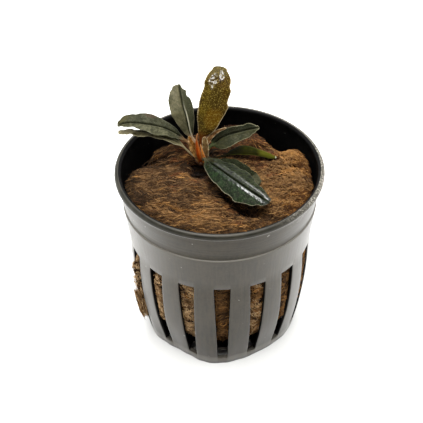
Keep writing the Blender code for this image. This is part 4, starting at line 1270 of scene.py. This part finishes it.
# The crown: the creeping stem, a short brown knob that the hollow holds, and the young parts that
# rise from it: two fleshy orange stalks and three thin sheaths that wrapped the leaves as buds.
KNOB_CUTS = 6
SHOOT = {"blade": 0.0, "groove": (0.0, 0.2), "ridge": (0.0, 0.4, 0.2), "spread": (-0.3, -0.1),
         "groove_dark": 0.0}
STALK = {**SHOOT, "fold": -0.2, "droop": 0.5, "veins": (0.0, 1.0), "gloss": (0.10, 0.0, 0.4),
         "steps": (14, 50)}
SHEATH = {**SHOOT, "droop": 0.0, "gloss": (0.08, 0.0, 0.45), "streaks": 0.6, "steps": (18, 60)}
CROWN = (
    Leaf("stalk_front", **STALK,
         line=((-4.3, 5.4, 45.6), (-4.8, 5.3, 48.1), (-5.2, 5.8, 49.9), (-5.4, 6.5, 51.8), (-5.1, 7.2, 53.3)),
         left=(0.8, 0.8, 0.75, 0.6, 0.44, 0.24, 0.0), right=(0.7, 0.7, 0.65, 0.5, 0.36, 0.2, 0.0),
         face=((0.1, -1.0, 0.3), (0.0, -1.0, 0.2)), ripple=0.05,
         left_colour=(0.34, 0.050, 0.004), right_colour=(0.40, 0.100, 0.012), dark=(0.16, 0.026, 0.002),
         speckle=(0.30, 0.12, 0.03), speckling=0.4, rim=(0.26, 0.12, 0.05), foot=(0.05, 0.010, 0.002),
         back=(0.15, 0.04, 0.01), spots=((0.0, 1.0, 1.6, 0.3, (0.16, 0.060, 0.016)),), streaks=0.45),
    Leaf("stalk_right", **STALK,
         line=((-3.4, 5.2, 45.6), (-3.7, 5.1, 47.3), (-4.1, 5.4, 49.2), (-4.5, 6.0, 50.9)),
         left=(0.6, 0.6, 0.5, 0.4, 0.3, 0.2, 0.0), right=(0.5, 0.5, 0.45, 0.35, 0.26, 0.16, 0.0),
         face=((0.3, -1.0, 0.3), (0.2, -1.0, 0.2)), ripple=0.04,
         left_colour=(0.46, 0.18, 0.036), right_colour=(0.46, 0.14, 0.024), dark=(0.28, 0.07, 0.010),
         speckle=(0.42, 0.22, 0.08), speckling=0.4, rim=(0.40, 0.22, 0.10), foot=(0.20, 0.045, 0.010),
         back=(0.2, 0.06, 0.02)),
    Leaf("sheath_left", **SHEATH,
         line=((-4.6, 5.9, 45.8), (-5.7, 6.0, 48.3), (-6.7, 6.5, 50.3), (-7.4, 7.1, 52.6)),
         left=(0.7, 0.9, 1.0, 1.05, 0.85, 0.45, 0.0), right=(0.7, 0.9, 1.0, 1.0, 0.9, 0.6, 0.0),
         face=((0.2, -1.0, 0.3), (0.3, -0.8, 0.5)), fold=0.5, ripple=0.25, veins=(0.05, 0.9),
         left_colour=(0.22, 0.115, 0.034), right_colour=(0.26, 0.100, 0.018), dark=(0.08, 0.030, 0.004),
         speckle=(0.30, 0.19, 0.09), speckling=0.4, rim=(0.30, 0.20, 0.10), foot=(0.16, 0.045, 0.006),
         back=(0.16, 0.10, 0.05), rim_width=0.12),
    Leaf("sheath_right", **SHEATH,
         line=((-3.3, 5.9, 45.8), (-3.3, 6.2, 48.0), (-3.3, 6.7, 50.2), (-3.5, 7.3, 52.2)),
         left=(0.5, 0.6, 0.75, 0.85, 0.85, 0.7, 0.0), right=(0.5, 0.7, 0.8, 0.9, 0.85, 0.7, 0.0),
         face=((-0.1, -1.0, 0.3), (-0.1, -0.8, 0.5)), fold=0.55, ripple=0.2, veins=(0.04, 0.8),
         left_colour=(0.20, 0.125, 0.052), right_colour=(0.17, 0.10, 0.040), dark=(0.08, 0.045, 0.012),
         speckle=(0.24, 0.17, 0.09), speckling=0.5, rim=(0.36, 0.28, 0.16), foot=(0.34, 0.12, 0.012),
         blotches=0.4, back=(0.16, 0.10, 0.05), rim_width=0.3),
    Leaf("sheath_wing", **SHEATH,
         line=((-3.6, 7.0, 48.6), (-2.4, 7.7, 51.0), (-0.7, 8.5, 52.5), (2.0, 9.1, 53.4)),
         left=(0.4, 0.5, 0.6, 0.55, 0.45, 0.3, 0.0), right=(0.4, 0.5, 0.6, 0.55, 0.45, 0.3, 0.0),
         face=((0.0, -0.8, 0.6), (0.0, -0.8, 0.6)), fold=0.2, ripple=0.2, veins=(0.04, 0.8),
         left_colour=(0.16, 0.085, 0.030), right_colour=(0.15, 0.070, 0.022), dark=(0.06, 0.026, 0.008),
         speckle=(0.26, 0.16, 0.08), speckling=0.5, rim=(0.34, 0.26, 0.15), foot=(0.20, 0.08, 0.02),
         back=(0.14, 0.08, 0.03), rim_width=0.2),
)

for part in CROWN:
    piece = leaf_mesh(part)
    piece.name = part.name
    piece.data.materials.append(leaf_paint(part))
    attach(piece, "root")

knob = welded_copy("rhizome", "rhizome_knob")
bpy.ops.mesh.subdivide(number_cuts=KNOB_CUTS, smoothness=1.0)
bpy.ops.object.mode_set(mode="OBJECT")
for vert in knob.data.vertices:
    place = vert.co / MM
    rings = 0.10 * math.sin(place.x * 5.2 + 2.0 * noise.noise(place))
    vert.co += vert.normal * (rings + 0.16 * noise.noise(place * 2.2)) * MM
bpy.ops.object.shade_smooth()

stem = Paint("rhizome_skin", Roughness=0.45, Specular_IOR_Level=0.3)
scars = stem.noise(stem.place(), 1500.0, 3.0, 0.6)
stem.feed("Base Color", stem.ramp(scars, (0.3, (0.02, 0.007, 0.002)), (0.55, (0.07, 0.026, 0.007)),
                                  (0.75, (0.14, 0.06, 0.018))))
stem.feed("Normal", stem.bump(scars, 0.12 * MM, 0.8))
knob.data.materials.append(stem.material)
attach(knob, "root")
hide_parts("rhizome")
